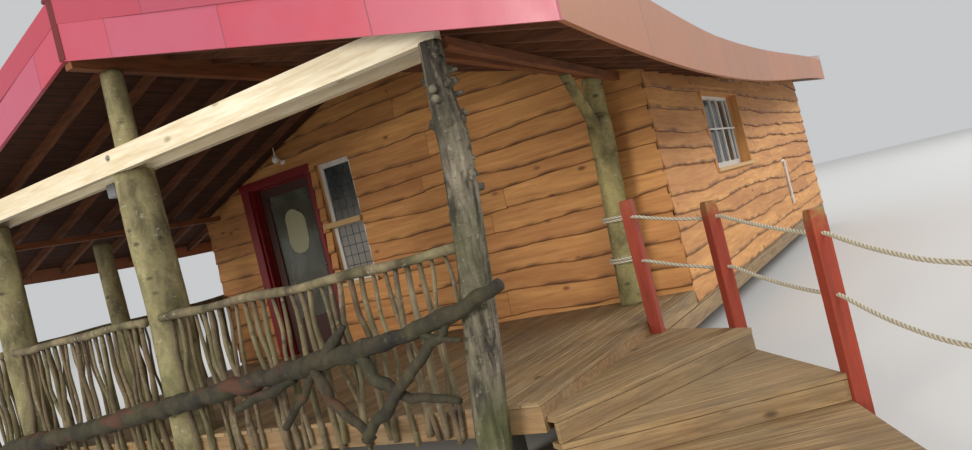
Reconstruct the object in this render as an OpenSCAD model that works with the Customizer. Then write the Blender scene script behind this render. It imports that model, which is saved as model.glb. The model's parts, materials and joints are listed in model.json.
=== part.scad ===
// Timber cabin on a raised deck among cut tree trunks, with a gabled front porch,
// a roof whose eaves swoop down and rise again, stick balustrades and a rope handrail.
// X runs to the right along the porch front, Y towards the rear, Z up from the ground.
// The origin is on the ground under the ridge, at the porch's front line.

/* [Deck and steps] */
// Height of the deck's top above the ground
deck_z = 550; // [450:10:800]
// Half of the width of the deck and of the cabin on it
half_w = 2990; // [2800:10:3200]
// Depth of the porch, from the deck's front edge to the front wall
porch_depth = 3070; // [2900:10:3500]
// Length of the cabin, from the front wall's face to the rear wall's face
cabin_length = 8880; // [6000:20:9600]
// Thickness of the deck boards
board_t = 28; // [22:1:40]
// Depth of the rim and of the joists under the boards
joist_d = 145; // [120:5:190]
// Thickness of the rim and of the joists
joist_t = 45; // [38:1:60]
// Distance between joists
joist_pitch = 590; // [450:10:700]
// Depth of the bearers under the joists
bearer_d = 150; // [120:5:180]
// Width of the bearers
bearer_w = 100; // [75:5:150]
// Side of a square pier
pier_w = 200; // [150:10:260]
// Distance between piers
pier_pitch = 1900; // [1500:50:2400]
// Drop from the deck's top to the upper step
first_drop = 90; // [60:5:120]
// Thickness of the upper and of the middle step
step_h = 150; // [120:5:170]

/* [Walls] */
// Thickness of a wall
wall_t = 150; // [110:5:200]
// Side of the roof's underside that a wall's top stays clear of
seat_gap = 0.5; // [0.2:0.1:0.8]

/* [Roof] */
// Height of the barge boards' lower edge at the ridge
ridge_low = 3410; // [3300:10:3600]
// Height of the right eave's lower edge at the front corner
eave_low_front = 2390; // [2350:10:2450]
// First control height of the right eave's curve
eave_low_dip = 2060; // [2020:10:2200]
// Second control height of the right eave's curve
eave_low_lift = 2590; // [2450:10:2650]
// Height of the right eave's lower edge at the rear corner
eave_low_rear = 2690; // [2550:10:2750]
// How much lower the left eave lies than the right one
left_drop = 180; // [0:10:200]
// Half of the roof's width at the front
eave_half_front = 3720; // [3600:10:3900]
// Half of the roof's width at the rear
eave_half_rear = 3500; // [3450:10:3800]
// Overhang of the roof in front of the deck
front_overhang = 250; // [200:10:400]
// Overhang of the roof behind the rear wall
rear_overhang = 250; // [150:10:400]
// Height from the barge board's lower edge to the rafters' undersides
rafter_rise = 60; // [30:5:80]
// Depth of a rafter
rafter_d = 80; // [60:5:130]
// Thickness of a rafter
rafter_t = 45; // [35:1:60]
// Number of spaces between rafters along the roof
rafter_bays = 29; // [24:1:34]
// Thickness of the roof between rafters and covering
roof_t = 200; // [150:10:240]
// Height of a barge board
barge_h = 460; // [420:10:520]
// Thickness of a barge board or eave fascia
barge_t = 30; // [20:1:40]
// Height of the lower of a barge board's two rows of sheet
barge_row_h = 245; // [200:5:280]
// How far the lower row of sheet stands out past the upper one
row_step = 6; // [3:1:10]

/* [Beams] */
// Height of the front tie beams' undersides
tie_z = 2580; // [2500:10:2620]
// Depth of the front tie beams
tie_d = 170; // [140:5:190]
// Thickness of a tie beam or side beam
tie_t = 70; // [55:1:80]
// Width of the ridge beam
ridge_w = 80; // [60:5:100]
// Depth of the ridge beam
ridge_d = 200; // [160:5:240]
// Depth of the porch's side beams
side_beam_d = 60; // [50:5:120]

/* [Trunk posts] */
// Radius of the trunk under the ridge, at its foot
ridge_post_r = 165; // [140:5:180]
// Radius of the trunk at the left of the porch, at its foot
left_post_r = 150; // [120:5:170]
// Radius of the trunk at the deck's right corner
right_post_r = 100; // [85:5:110]
// Radius of the forked trunk at the cabin's corner, at its foot
forked_post_r = 120; // [95:1:130]
// Radius of the trunk at the porch's left side
side_post_r = 105; // [90:5:130]

/* [Door] */
// Left edge of the doorway in the front wall, right of the ridge when positive
door_x = -2140; // [-2250:10:-2000]
// Width of the doorway in the wall
door_w = 1020; // [900:10:1100]
// Height of the doorway above the deck
door_h = 2130; // [2000:10:2150]
// Thickness of the door's lining
lining_t = 40; // [30:1:55]
// Thickness of the door leaf
leaf_t = 45; // [38:1:55]
// Gap between the leaf and what it moves past
leaf_gap = 8; // [6:1:10]
// Width of the leaf's side rails
stile_w = 120; // [95:5:150]
// Height of the leaf's bottom rail
bottom_rail_h = 420; // [250:10:700]
// Radius of the hinge pins
pin_r = 6; // [5:0.5:7]

/* [Windows] */
// Left edge of the front window
front_window_x = -970; // [-1000:10:-800]
// Width of the front window
front_window_w = 510; // [450:10:700]
// Sill height of the front window above the deck
front_window_sill = 740; // [650:10:850]
// Height of the front window
front_window_h = 1400; // [1300:10:1420]
// Height of the lower of the front window's two lights
lower_light_h = 640; // [500:10:700]
// Distance from the front wall's face to the right wall's window
side_window_y = 1830; // [1500:10:3000]
// Width of a side window
side_window_w = 1750; // [1200:10:2000]
// Sill height of a side window above the deck
side_window_sill = 990; // [850:10:1100]
// Height of a side window
side_window_h = 880; // [700:10:900]
// Width of a window's frame
frame_w = 60; // [45:1:80]
// Thickness of a window's frame
frame_t = 45; // [38:1:60]
// Thickness of a pane
glass_t = 6; // [4:1:10]

/* [Balustrades and ropes] */
// Height of a balustrade's rail above the deck
rail_z = 905; // [850:5:1000]
// Radius of a balustrade's rail
rail_r = 32; // [25:1:40]
// Distance between the sticks of a balustrade
stick_pitch = 88; // [70:1:110]
// Side of a rope post
rope_post_w = 92; // [80:1:110]
// Radius of the ropes
rope_r = 13; // [10:1:15]
// Gap between a rope and the hole that it passes through
rope_gap = 0.5; // [0.3:0.1:2]

/* [Hidden] */

fit = 0.3;
wood = [0.72, 0.45, 0.22];
pale_wood = [0.86, 0.74, 0.52];
bark = [0.47, 0.42, 0.28];
red = [0.80, 0.12, 0.15];
tan_sheet = [0.70, 0.48, 0.36];

rear_y = porch_depth + cabin_length;
roof_y0 = -front_overhang;
roof_y1 = rear_y + rear_overhang;
bay = (roof_y1 - roof_y0) / rafter_bays;
soffit_rise = rafter_rise + rafter_d;
stations = [for (k = [0:rafter_bays]) roof_y0 + k * bay];

// Curves of the roof: half of its width, and the height of its lower edge
function bezier(a, b, c, d, t) =
    a * pow(1 - t, 3) + 3 * b * pow(1 - t, 2) * t + 3 * c * (1 - t) * t * t + d * t * t * t;
function along(y) = (y - roof_y0) / (roof_y1 - roof_y0);
function eave_x(y) = eave_half_front + (eave_half_rear - eave_half_front) * along(y);
eave_lows = [for (y = stations)
    [y, bezier(eave_low_front, eave_low_dip, eave_low_lift, eave_low_rear, along(y))]];
function eave_low(y) = lookup(y, eave_lows);
function low_at(x, y, drop) = ridge_low - (ridge_low - eave_low(y) + drop) * x / eave_x(y);
fascia_heights = [[-250, 440], [1500, 400], [3000, 358], [12200, 362]];
function fascia_h(y) = lookup(y, fascia_heights);

// Closes a row of rings, each wound anticlockwise as seen from the last one, into a solid
module skin(rings) {
    n = len(rings[0]);
    last = (len(rings) - 1) * n;
    polyhedron(
        points = [for (ring = rings) for (p = ring) p],
        faces = concat(
            [[for (j = [0:n - 1]) j]],
            [for (i = [0:len(rings) - 2]) for (j = [0:n - 1])
                [(i + 1) * n + (j + 1) % n, i * n + (j + 1) % n, i * n + j]],
            [for (i = [0:len(rings) - 2]) for (j = [0:n - 1])
                [(i + 1) * n + j, (i + 1) * n + (j + 1) % n, i * n + j]],
            [[for (j = [n - 1:-1:0]) last + j]]),
        convexity = 6);
}

function unit(v) = v / norm(v);
function tangent(p, i) =
    unit(p[min(i + 1, len(p) - 1)] - p[max(i - 1, 0)]);
function ring_at(p, i, r, sides, side_dir) =
    let (t = tangent(p, i), u = unit(cross(side_dir, t)), v = cross(t, u))
    [for (j = [0:sides - 1])
        p[i] + r * cos(360 * j / sides) * u + r * sin(360 * j / sides) * v];

// A branch, rail or rope: rings square to a route of points
module sweep(route, radii, sides, side_dir = [0, 1, 0]) {
    skin([for (i = [0:len(route) - 1])
        ring_at(route, i, is_list(radii) ? radii[i] : radii, sides, side_dir)]);
}

// An upright trunk: level rings of [x, y, z, radius], slightly lobed like a real one
trunk_sides = 16;
function lobe(j, seed) = 1 + 0.035 * sin(720 * j / trunk_sides + seed)
    + 0.02 * sin(1080 * j / trunk_sides + 2 * seed);
module trunk(rings, seed = 0) {
    skin([for (g = rings) [for (j = [0:trunk_sides - 1])
        [g[0] + g[3] * lobe(j, seed) * cos(360 * j / trunk_sides),
         g[1] + g[3] * lobe(j, seed) * sin(360 * j / trunk_sides), g[2]]]]);
}

// One half of the roof's section between two offsets, followed from ring to ring
module half_roof(y_list, drop, x_from, x_to, low_off, high_off) {
    skin([for (y = y_list)
        let (xa = x_from == 0 ? 0 : x_from, xb = x_to == 0 ? eave_x(y) : x_to)
        [[xa, y, low_at(xa, y, drop) + low_off], [xa, y, low_at(xa, y, drop) + high_off],
         [xb, y, low_at(xb, y, drop) + high_off], [xb, y, low_at(xb, y, drop) + low_off]]]);
}

// The roof's stations that reach past a stretch from ya to yb
function near(ya, yb) = [for (y = stations) if (y > ya - 1.01 * bay && y < yb + 1.01 * bay) y];

// Everything above a surface that lies rise over the roof's lower edge, from ya to yb
module above(rise, ya, yb) {
    half_roof(near(ya, yb), 0, 0, 0, rise - seat_gap, 2500);
    mirror([1, 0, 0]) half_roof(near(ya, yb), left_drop, 0, 0, rise - seat_gap, 2500);
}

// Deck

frame_top = deck_z - board_t;
bearer_top = frame_top - joist_d;
pier_top = bearer_top - bearer_d;
post_gap = 8;
ridge_post_x = -60;
ridge_post_y = 80;
left_post_x = -half_w + 790;
left_post_y = 80;

// Room that the two trunks through the deck's front edge take in the deck
module trunk_room() {
    translate([ridge_post_x, ridge_post_y, -1])
        cylinder(h = deck_z + 2, r = ridge_post_r * 1.06 + post_gap, $fn = 48);
    translate([left_post_x, left_post_y, -1])
        cylinder(h = deck_z + 2, r = left_post_r * 1.06 + post_gap, $fn = 48);
}

module porch_deck() {
    color(wood) difference() {
        translate([-half_w, 0, frame_top]) cube([2 * half_w, porch_depth, board_t]);
        trunk_room();
    }
}

module cabin_floor() {
    color(wood) translate([-half_w, porch_depth, frame_top])
        cube([2 * half_w, cabin_length, board_t]);
}

joist_count = floor(rear_y / joist_pitch);
module deck_frame() {
    color(wood) difference() {
        union() {
            for (side = [-1, 1])
                translate([side * (half_w - joist_t / 2) - joist_t / 2, 0, bearer_top])
                    cube([joist_t, rear_y, joist_d]);
            for (k = [0:joist_count])
                translate([-half_w + joist_t + fit, k * (rear_y - joist_t) / joist_count,
                    bearer_top])
                    cube([2 * (half_w - joist_t - fit), joist_t, joist_d]);
        }
        trunk_room();
    }
}

bearer_x = [-half_w + 590, 0, half_w - 590];
bearer_y0 = 300;
module floor_bearers() {
    color(wood) for (x = bearer_x)
        translate([x - bearer_w / 2, bearer_y0, pier_top])
            cube([bearer_w, rear_y - bearer_y0 - 150, bearer_d]);
}

pier_count = floor((rear_y - 2 * bearer_y0) / pier_pitch);
module floor_piers() {
    color("gray") for (x = bearer_x) for (k = [0:pier_count])
        translate([x - pier_w / 2,
            bearer_y0 + 50 + k * (rear_y - 2 * bearer_y0 - pier_w - 100) / pier_count, 0])
            cube([pier_w, pier_w, pier_top]);
}

// Trunk posts

ridge_beam_low = ridge_low + soffit_rise - ridge_d;
module ridge_post() {
    color(bark) trunk([
        [ridge_post_x + 10, ridge_post_y, 0, ridge_post_r],
        [ridge_post_x, ridge_post_y, 300, ridge_post_r * 0.99],
        [ridge_post_x + 10, ridge_post_y, 900, ridge_post_r * 0.95],
        [ridge_post_x + 30, ridge_post_y + 5, 1500, ridge_post_r * 0.92],
        [ridge_post_x + 25, ridge_post_y, 2100, ridge_post_r * 0.93],
        [ridge_post_x + 30, ridge_post_y, tie_z - 60, ridge_post_r * 0.88],
        [ridge_post_x + 32, ridge_post_y, tie_z - fit, ridge_post_r * 0.84],
        [ridge_post_x + 32, ridge_post_y, tie_z, ridge_post_r * 0.56],
        [ridge_post_x + 40, ridge_post_y, 2950, ridge_post_r * 0.54],
        [ridge_post_x + 50, ridge_post_y, ridge_beam_low, ridge_post_r * 0.50]], 40);
}

module left_post() {
    color(bark) trunk([
        [left_post_x, left_post_y, 0, left_post_r],
        [left_post_x, left_post_y, 700, left_post_r * 0.95],
        [left_post_x - 15, left_post_y, 1400, left_post_r * 0.93],
        [left_post_x + 5, left_post_y, 2000, left_post_r * 0.9],
        [left_post_x, left_post_y, tie_z, left_post_r * 0.88]], 130);
}

right_post_x = half_w - 290;
right_post_y = -right_post_r * 1.06 - 1;
module right_post() {
    color(bark) trunk([
        [right_post_x - 10, right_post_y - 5, 0, right_post_r],
        [right_post_x + 10, right_post_y, 500, right_post_r],
        [right_post_x + 100, right_post_y - 8, 1100, right_post_r * 0.92],
        [right_post_x + 175, right_post_y, 1500, right_post_r * 0.88],
        [right_post_x + 245, right_post_y + 15, 2000, right_post_r * 0.87],
        [right_post_x + 220, right_post_y + 25, 2300, right_post_r * 0.72],
        [right_post_x + 205, right_post_y + 30, tie_z, right_post_r * 0.62]], 70);
}

forked_x = half_w - 450;
forked_y = porch_depth - 215;
fork_z = 2230;
big_arm_x = forked_x + 85;
big_arm_y = forked_y - 5;
small_arm_x = forked_x + 100;
small_arm_y = forked_y - 605;
forked_seed = 10;
forked_rings = [
    [forked_x - 33, forked_y, deck_z, forked_post_r * 0.96],
    [forked_x - 10, forked_y, 900, forked_post_r * 0.93],
    [forked_x + 22, forked_y, 1500, forked_post_r * 0.9],
    [forked_x + 47, forked_y - 3, 1950, forked_post_r * 0.9],
    [forked_x + 60, forked_y - 12, fork_z, forked_post_r * 0.9]];
module forked_post() {
    color(bark) union() {
        trunk(forked_rings, forked_seed);
        trunk([
            [forked_x + 66, forked_y - 6, fork_z - 90, forked_post_r * 0.76],
            [forked_x + 76, forked_y - 5, fork_z + 110, forked_post_r * 0.75],
            [big_arm_x, big_arm_y, inner_beam_low, forked_post_r * 0.74]], 20);
        trunk([
            [forked_x + 45, forked_y - 35, fork_z - 110, forked_post_r * 0.5],
            [forked_x + 62, forked_y - 230, fork_z + 60, forked_post_r * 0.44],
            [small_arm_x, small_arm_y, inner_beam_low, forked_post_r * 0.4]], 50);
    }
}

side_post_x = -half_w + 240;
side_post_y = 1410;
module side_post() {
    color(bark) trunk([
        [side_post_x, side_post_y, deck_z, side_post_r],
        [side_post_x + 12, side_post_y, 1200, side_post_r * 0.94],
        [side_post_x, side_post_y, left_beam_low, side_post_r * 0.86]], 90);
}

// Beams

front_tie_y = ridge_post_y - ridge_post_r * 0.6 - tie_t;
inner_tie_y = ridge_post_y + ridge_post_r * 0.6;
beam_gap = 3;
// A tie beam from the left post to an end at the right
module tie_beam(y, x_end) {
    x_start = left_post_x - 400;
    difference() {
        translate([x_start, y, tie_z]) cube([x_end - x_start, tie_t, tie_d]);
        above(rafter_rise - beam_gap, y, y + tie_t);
    }
}

module front_tie_beam() {
    color(pale_wood) tie_beam(front_tie_y, half_w - 40);
}

module inner_tie_beam() {
    color(pale_wood) tie_beam(inner_tie_y, half_w - 240);
}

side_beam_w = 60;
inner_beam_y0 = inner_tie_y + tie_t;
outer_beam_y0 = front_tie_y + tie_t;
inner_beam_x = [half_w - 345, half_w - 410];
outer_beam_x = [half_w - 60, half_w - 235];
left_beam_x = [-side_post_x - side_beam_w / 2, -side_post_x - side_beam_w / 2];

// Highest level that a beam under the rafters can have, from x[0] at y0 to x[1] at the wall
function beam_low(x, y0, drop) = rafter_rise - beam_gap - side_beam_d
    + min([for (y = concat([y0], [for (s = stations) if (s > y0 && s < porch_depth) s], [porch_depth]))
        low_at(side_beam_w + x[0] + (x[1] - x[0]) * (y - y0) / (porch_depth - y0), y, drop)]);
inner_beam_low = beam_low(inner_beam_x, inner_beam_y0, 0);
outer_beam_low = beam_low(outer_beam_x, outer_beam_y0, 0);
left_beam_low = beam_low(left_beam_x, inner_beam_y0, left_drop);

// A slender beam in plan from x[0] at y0 to x[1] at the front wall
module side_beam(x, y0, low) {
    translate([0, 0, low]) linear_extrude(side_beam_d)
        polygon([[x[0], y0], [x[0] + side_beam_w, y0],
            [x[1] + side_beam_w, porch_depth], [x[1], porch_depth]]);
}

module right_side_beams() {
    color(wood) {
        side_beam(inner_beam_x, inner_beam_y0, inner_beam_low);
        side_beam(outer_beam_x, outer_beam_y0, outer_beam_low);
    }
}

module left_side_beam() {
    color(wood) mirror([1, 0, 0]) side_beam(left_beam_x, inner_beam_y0, left_beam_low);
}

module ridge_beam_section(grow) {
    top = ridge_low + soffit_rise - seat_gap;
    polygon([[-ridge_w / 2 - grow, top - ridge_d + seat_gap - grow],
        [ridge_w / 2 + grow, top - ridge_d + seat_gap - grow],
        [ridge_w / 2 + grow, top - 20], [0, top + grow], [-ridge_w / 2 - grow, top - 20]]);
}

module ridge_beam() {
    color(wood) translate([0, roof_y1, 0]) rotate([90, 0, 0])
        linear_extrude(roof_y1 - roof_y0) ridge_beam_section(0);
}

// Room in a gable wall for the ridge beam
module ridge_beam_room() {
    translate([0, roof_y1, 0]) rotate([90, 0, 0])
        linear_extrude(roof_y1 - roof_y0) ridge_beam_section(fit);
}

// Roof

module rafter(y, drop, x_from) {
    y_a = max(y - rafter_t / 2, roof_y0);
    skin([for (v = [y_a, y_a + rafter_t])
        let (x_end = eave_x(v) - seat_gap, z_a = low_at(x_from, v, drop), z_b = low_at(x_end, v, drop))
        [[x_from, v, z_a + rafter_rise], [x_from, v, z_a + soffit_rise + 30],
         [x_end, v, z_b + soffit_rise + 30], [x_end, v, z_b + rafter_rise]]]);
}

porch_rafters = [for (y = stations) if (y + rafter_t < porch_depth) y];
eave_rafters = [for (y = stations) if (y + rafter_t >= porch_depth && y < roof_y1 - rafter_t) y];
module rafters(drop) {
    difference() {
        union() {
            for (y = porch_rafters) rafter(y, drop, ridge_w / 2 + fit);
            for (y = eave_rafters) rafter(y, drop, half_w);
        }
        half_roof(stations, drop, 0, 0, soffit_rise - seat_gap, soffit_rise + 300);
    }
}

module right_rafters() {
    color(wood) rafters(0);
}

module left_rafters() {
    color(wood) mirror([1, 0, 0]) rafters(left_drop);
}

module right_roof() {
    color(red) half_roof(stations, 0, 0, 0, soffit_rise, soffit_rise + roof_t);
}

module left_roof() {
    color(red) mirror([1, 0, 0])
        half_roof(stations, left_drop, 0, 0, soffit_rise, soffit_rise + roof_t);
}

cap_w = 160;
cap_t = 8;
module ridge_cap() {
    high = soffit_rise + roof_t;
    color(red) difference() {
        union() {
            half_roof(stations, 0, 0, cap_w, high, high + cap_t);
            mirror([1, 0, 0]) half_roof(stations, left_drop, 0, cap_w, high, high + cap_t);
        }
        half_roof([for (y = stations) y == roof_y0 ? y - 1 : y == roof_y1 ? y + 1 : y],
            0, 0, 0, soffit_rise, high + seat_gap);
        mirror([1, 0, 0])
            half_roof([for (y = stations) y == roof_y0 ? y - 1 : y == roof_y1 ? y + 1 : y],
                left_drop, 0, 0, soffit_rise, high + seat_gap);
    }
}

// One barge board in the plane y = 0, of two rows of sheet, the lower one standing out
module barge_board(y, drop) {
    x_end = eave_x(y) + barge_t;
    z_end = low_at(x_end, y, drop);
    rotate([90, 0, 0]) {
        linear_extrude(barge_t - row_step)
            polygon([[0, ridge_low], [x_end, z_end], [x_end, z_end + barge_h],
                [0, ridge_low + barge_h]]);
        linear_extrude(barge_t)
            polygon([[0, ridge_low], [x_end, z_end], [x_end, z_end + barge_row_h - 35],
                [0, ridge_low + barge_row_h + 35]]);
    }
}

module right_barge_board() {
    color(red) translate([0, roof_y0, 0]) barge_board(roof_y0, 0);
}

module left_barge_board() {
    color(red) translate([0, roof_y0, 0]) mirror([1, 0, 0]) barge_board(roof_y0, left_drop);
}

module rear_barge_boards() {
    color(red) translate([0, roof_y1, 0]) mirror([0, 1, 0]) {
        barge_board(roof_y1, 0);
        mirror([1, 0, 0]) barge_board(roof_y1, left_drop);
    }
}

// The sheet along an eave, in two rows that follow the roof's swoop
module eave_fascia(drop) {
    for (row = [[0.44, barge_t], [1, barge_t - row_step]])
        skin([for (y = stations) let (x = eave_x(y), z = eave_low(y) - drop)
            [[x, y, z], [x, y, z + fascia_h(y) * row[0]],
             [x + row[1], y, z + fascia_h(y) * row[0]], [x + row[1], y, z]]]);
}

module right_eave_fascia() {
    color(tan_sheet) union() eave_fascia(0);
}

module left_eave_fascia() {
    color(tan_sheet) mirror([1, 0, 0]) union() eave_fascia(left_drop);
}

// Walls

wall_top = ridge_low + 400;
door_x1 = door_x + door_w;
door_top = deck_z + door_h;
front_inner_y = porch_depth + wall_t;

// A slab of the front or rear wall, cut off under the roof
module gable_wall(x_from, x_to, y, z_from) {
    difference() {
        translate([x_from, y, z_from]) cube([x_to - x_from, wall_t, wall_top - z_from]);
        above(soffit_rise, y, y + wall_t);
        ridge_beam_room();
    }
}

module front_wall_left() {
    color(wood) gable_wall(-half_w, door_x, porch_depth, deck_z);
}

module front_wall_right() {
    color(wood) difference() {
        gable_wall(door_x1, half_w, porch_depth, deck_z);
        translate([front_window_x, porch_depth - 1, deck_z + front_window_sill])
            cube([front_window_w, wall_t + 2, front_window_h]);
    }
}

module front_wall_over_door() {
    color(wood) gable_wall(door_x, door_x1, porch_depth, door_top);
}

side_window_z = deck_z + side_window_sill;
// The long wall at the right, with its window; the left wall is its mirror image
module long_wall(drop) {
    difference() {
        translate([half_w - wall_t, front_inner_y, deck_z])
            cube([wall_t, cabin_length - 2 * wall_t, wall_top - deck_z]);
        half_roof(near(porch_depth, rear_y), drop, 0, 0, soffit_rise - seat_gap, 2500);
        translate([half_w - wall_t - 1, porch_depth + side_window_y, side_window_z])
            cube([wall_t + 2, side_window_w, side_window_h]);
    }
}

module right_wall() {
    color(wood) long_wall(0);
}

module left_wall() {
    color(wood) mirror([1, 0, 0]) long_wall(left_drop);
}

module rear_wall() {
    color(wood) difference() {
        gable_wall(-half_w, half_w, rear_y - wall_t, deck_z);
        translate([-side_window_w / 2, rear_y - wall_t - 1, side_window_z])
            cube([side_window_w, wall_t + 2, side_window_h]);
    }
}

// Door

leaf_x = door_x + lining_t + leaf_gap;
leaf_w = door_w - 2 * lining_t - 2 * leaf_gap;
leaf_z = deck_z + 12;
leaf_h = door_h - lining_t - leaf_gap - 12;
leaf_y = front_inner_y - leaf_t;
hinge_x = leaf_x - leaf_gap - 2;
knuckle_r = pin_r + 3;
hinge_y = front_inner_y + knuckle_r + 3;
hinge_h = 100;
hinge_z = [leaf_z + 180, leaf_z + leaf_h / 2, leaf_z + leaf_h - 280];
stop_t = 15;
plate_t = 6;

module door_frame() {
    color(red) union() {
        for (x = [door_x, door_x1 - lining_t])
            translate([x, porch_depth, deck_z]) cube([lining_t, wall_t, door_h]);
        translate([door_x, porch_depth, door_top - lining_t]) cube([door_w, wall_t, lining_t]);
        for (x = [door_x + lining_t - 1, door_x1 - lining_t - stop_t])
            translate([x, leaf_y - leaf_gap - 20, deck_z])
                cube([stop_t + 1, 20, door_h - lining_t]);
        translate([door_x + lining_t, leaf_y - leaf_gap - 20, door_top - lining_t - stop_t])
            cube([door_w - 2 * lining_t, 20, stop_t + 1]);
        for (z = hinge_z) {
            translate([hinge_x, hinge_y, z]) cylinder(h = hinge_h * 0.4, r = knuckle_r, $fn = 32);
            translate([hinge_x, hinge_y, z]) cylinder(h = hinge_h, r = pin_r, $fn = 32);
            translate([hinge_x - 35, front_inner_y - 1, z])
                cube([36, hinge_y - front_inner_y, hinge_h * 0.4]);
        }
    }
}

glass_x = leaf_x + stile_w;
glass_w = leaf_w - 2 * stile_w;
glass_z = leaf_z + bottom_rail_h;
glass_h = leaf_h - bottom_rail_h - stile_w;
rebate = 12;
module door_leaf() {
    color([0.25, 0.13, 0.09]) union() {
        difference() {
            translate([leaf_x, leaf_y, leaf_z]) cube([leaf_w, leaf_t, leaf_h]);
            translate([glass_x, leaf_y - 1, glass_z]) cube([glass_w, leaf_t + 2, glass_h]);
            translate([glass_x - rebate, leaf_y + leaf_t / 2 - glass_t / 2 - fit,
                glass_z - rebate])
                cube([glass_w + 2 * rebate, glass_t + 2 * fit, glass_h + 2 * rebate]);
        }
        for (z = hinge_z) difference() {
            union() {
                translate([hinge_x, hinge_y, z + hinge_h * 0.4 + 1])
                    cylinder(h = hinge_h * 0.6 - 1, r = knuckle_r, $fn = 32);
                translate([hinge_x, front_inner_y - 1, z + hinge_h * 0.4 + 1])
                    cube([60, hinge_y - front_inner_y, hinge_h * 0.6 - 1]);
            }
            translate([hinge_x, hinge_y, z]) cylinder(h = hinge_h + 1, r = pin_r + 0.1, $fn = 32);
            translate([hinge_x - 30, front_inner_y - 2, z])
                cube([38, 2 + fit, hinge_h + 1]);
        }
    }
}

module door_glass() {
    color([0.45, 0.45, 0.35, 0.6])
        translate([glass_x - rebate + fit, leaf_y + leaf_t / 2 - glass_t / 2, glass_z - rebate + fit])
        cube([glass_w + 2 * rebate - 2 * fit, glass_t, glass_h + 2 * rebate - 2 * fit]);
}

handle_x = leaf_x + leaf_w - stile_w / 2;
handle_z = leaf_z + 1000;
module lever() {
    translate([handle_x - 18, -8, handle_z - 90]) cube([36, 8, 180]);
    translate([handle_x, -1, handle_z]) rotate([90, 0, 0]) cylinder(h = 42, r = 9, $fn = 24);
    translate([handle_x + 9, -42, handle_z]) rotate([0, -90, 0])
        cylinder(h = 120, r = 8, $fn = 24);
}

module door_handle() {
    color("silver") {
        translate([0, leaf_y, 0]) union() lever();
        translate([0, leaf_y + leaf_t, 0]) mirror([0, 1, 0]) union() lever();
    }
}

// Windows

// A frame for an opening of w by h, drawn in X and Z with its outer face at y = 0
module window_frame(w, h, mullions) {
    difference() {
        cube([w, frame_t, h]);
        for (m = mullions)
            translate([frame_w, -1, m[0]]) cube([w - 2 * frame_w, frame_t + 2, m[1] - m[0]]);
        translate([frame_w - rebate, frame_t / 2 - glass_t / 2 - fit, frame_w - rebate])
            cube([w - 2 * frame_w + 2 * rebate, glass_t + 2 * fit, h - 2 * frame_w + 2 * rebate]);
    }
}

module window_pane(w, h) {
    translate([frame_w - rebate + fit, frame_t / 2 - glass_t / 2, frame_w - rebate + fit])
        cube([w - 2 * frame_w + 2 * rebate - 2 * fit, glass_t,
            h - 2 * frame_w + 2 * rebate - 2 * fit]);
}

frame_setback = wall_t - frame_t - 10;
front_setback = 35;
one_light = [[frame_w, side_window_h - frame_w]];

// Puts a window's piece into the right, left and rear walls
module in_side_walls() {
    translate([half_w - frame_setback, porch_depth + side_window_y, side_window_z])
        rotate([0, 0, 90]) children();
    translate([-half_w + frame_setback, porch_depth + side_window_y + side_window_w,
        side_window_z]) rotate([0, 0, -90]) children();
    translate([side_window_w / 2, rear_y - frame_setback, side_window_z])
        rotate([0, 0, 180]) children();
}

module window_frames() {
    color("white") {
        translate([front_window_x, porch_depth + front_setback, deck_z + front_window_sill])
            difference() {
                cube([front_window_w, frame_t, front_window_h]);
                for (m = [[frame_w, lower_light_h], [lower_light_h + 70, front_window_h - frame_w]]) {
                    translate([frame_w, -1, m[0]])
                        cube([front_window_w - 2 * frame_w, frame_t + 2, m[1] - m[0]]);
                    translate([frame_w - rebate, frame_t / 2 - glass_t / 2 - fit, m[0] - rebate])
                        cube([front_window_w - 2 * frame_w + 2 * rebate, glass_t + 2 * fit,
                            m[1] - m[0] + 2 * rebate]);
                }
            }
        in_side_walls() window_frame(side_window_w, side_window_h, one_light);
    }
}

module window_glass() {
    color([0.4, 0.45, 0.5, 0.5]) {
        translate([front_window_x, porch_depth + front_setback, deck_z + front_window_sill])
            for (m = [[frame_w, lower_light_h], [lower_light_h + 70, front_window_h - frame_w]])
                translate([frame_w - rebate + fit, frame_t / 2 - glass_t / 2, m[0] - rebate + fit])
                    cube([front_window_w - 2 * frame_w + 2 * rebate - 2 * fit, glass_t,
                        m[1] - m[0] + 2 * rebate - 2 * fit]);
        in_side_walls() window_pane(side_window_w, side_window_h);
    }
}

sill_t = 40;
module window_sills() {
    color(pale_wood) {
        translate([front_window_x - 60, porch_depth - 70,
            deck_z + front_window_sill + lower_light_h + 10])
            cube([front_window_w + 60, 70, sill_t + 20]);
        translate([front_window_x - 40, porch_depth - 60, deck_z + front_window_sill - sill_t])
            cube([front_window_w + 80, 60, sill_t]);
        translate([half_w, porch_depth + side_window_y - 50, side_window_z - sill_t])
            cube([55, side_window_w + 100, sill_t]);
        translate([-half_w - 55, porch_depth + side_window_y - 50, side_window_z - sill_t])
            cube([55, side_window_w + 100, sill_t]);
        translate([-side_window_w / 2 - 50, rear_y, side_window_z - sill_t])
            cube([side_window_w + 100, 55, sill_t]);
    }
}

// Steps: three platforms stacked like winders round the deck's corner

step_x0 = half_w;
corner = [half_w + 80, -15];
upper_out = [half_w + 800, 1540];
middle_out = [half_w + 1420, 820];
landing_front = [half_w + 560, -950];
landing_out = [half_w + 1910, -220];
back_in = [half_w, 2010];
back_out = [half_w + 790, 1600];
upper_plan = [[step_x0, 30], corner, upper_out, back_out, back_in];
middle_plan = [[step_x0, 30], corner, middle_out, back_out, back_in];
landing_plan = [[step_x0, 30], corner, landing_front, landing_out, middle_out, back_out, back_in];
upper_z = deck_z - first_drop;
middle_z = upper_z - step_h;
landing_z = middle_z - step_h;

post_1_y = 1870;
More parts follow.
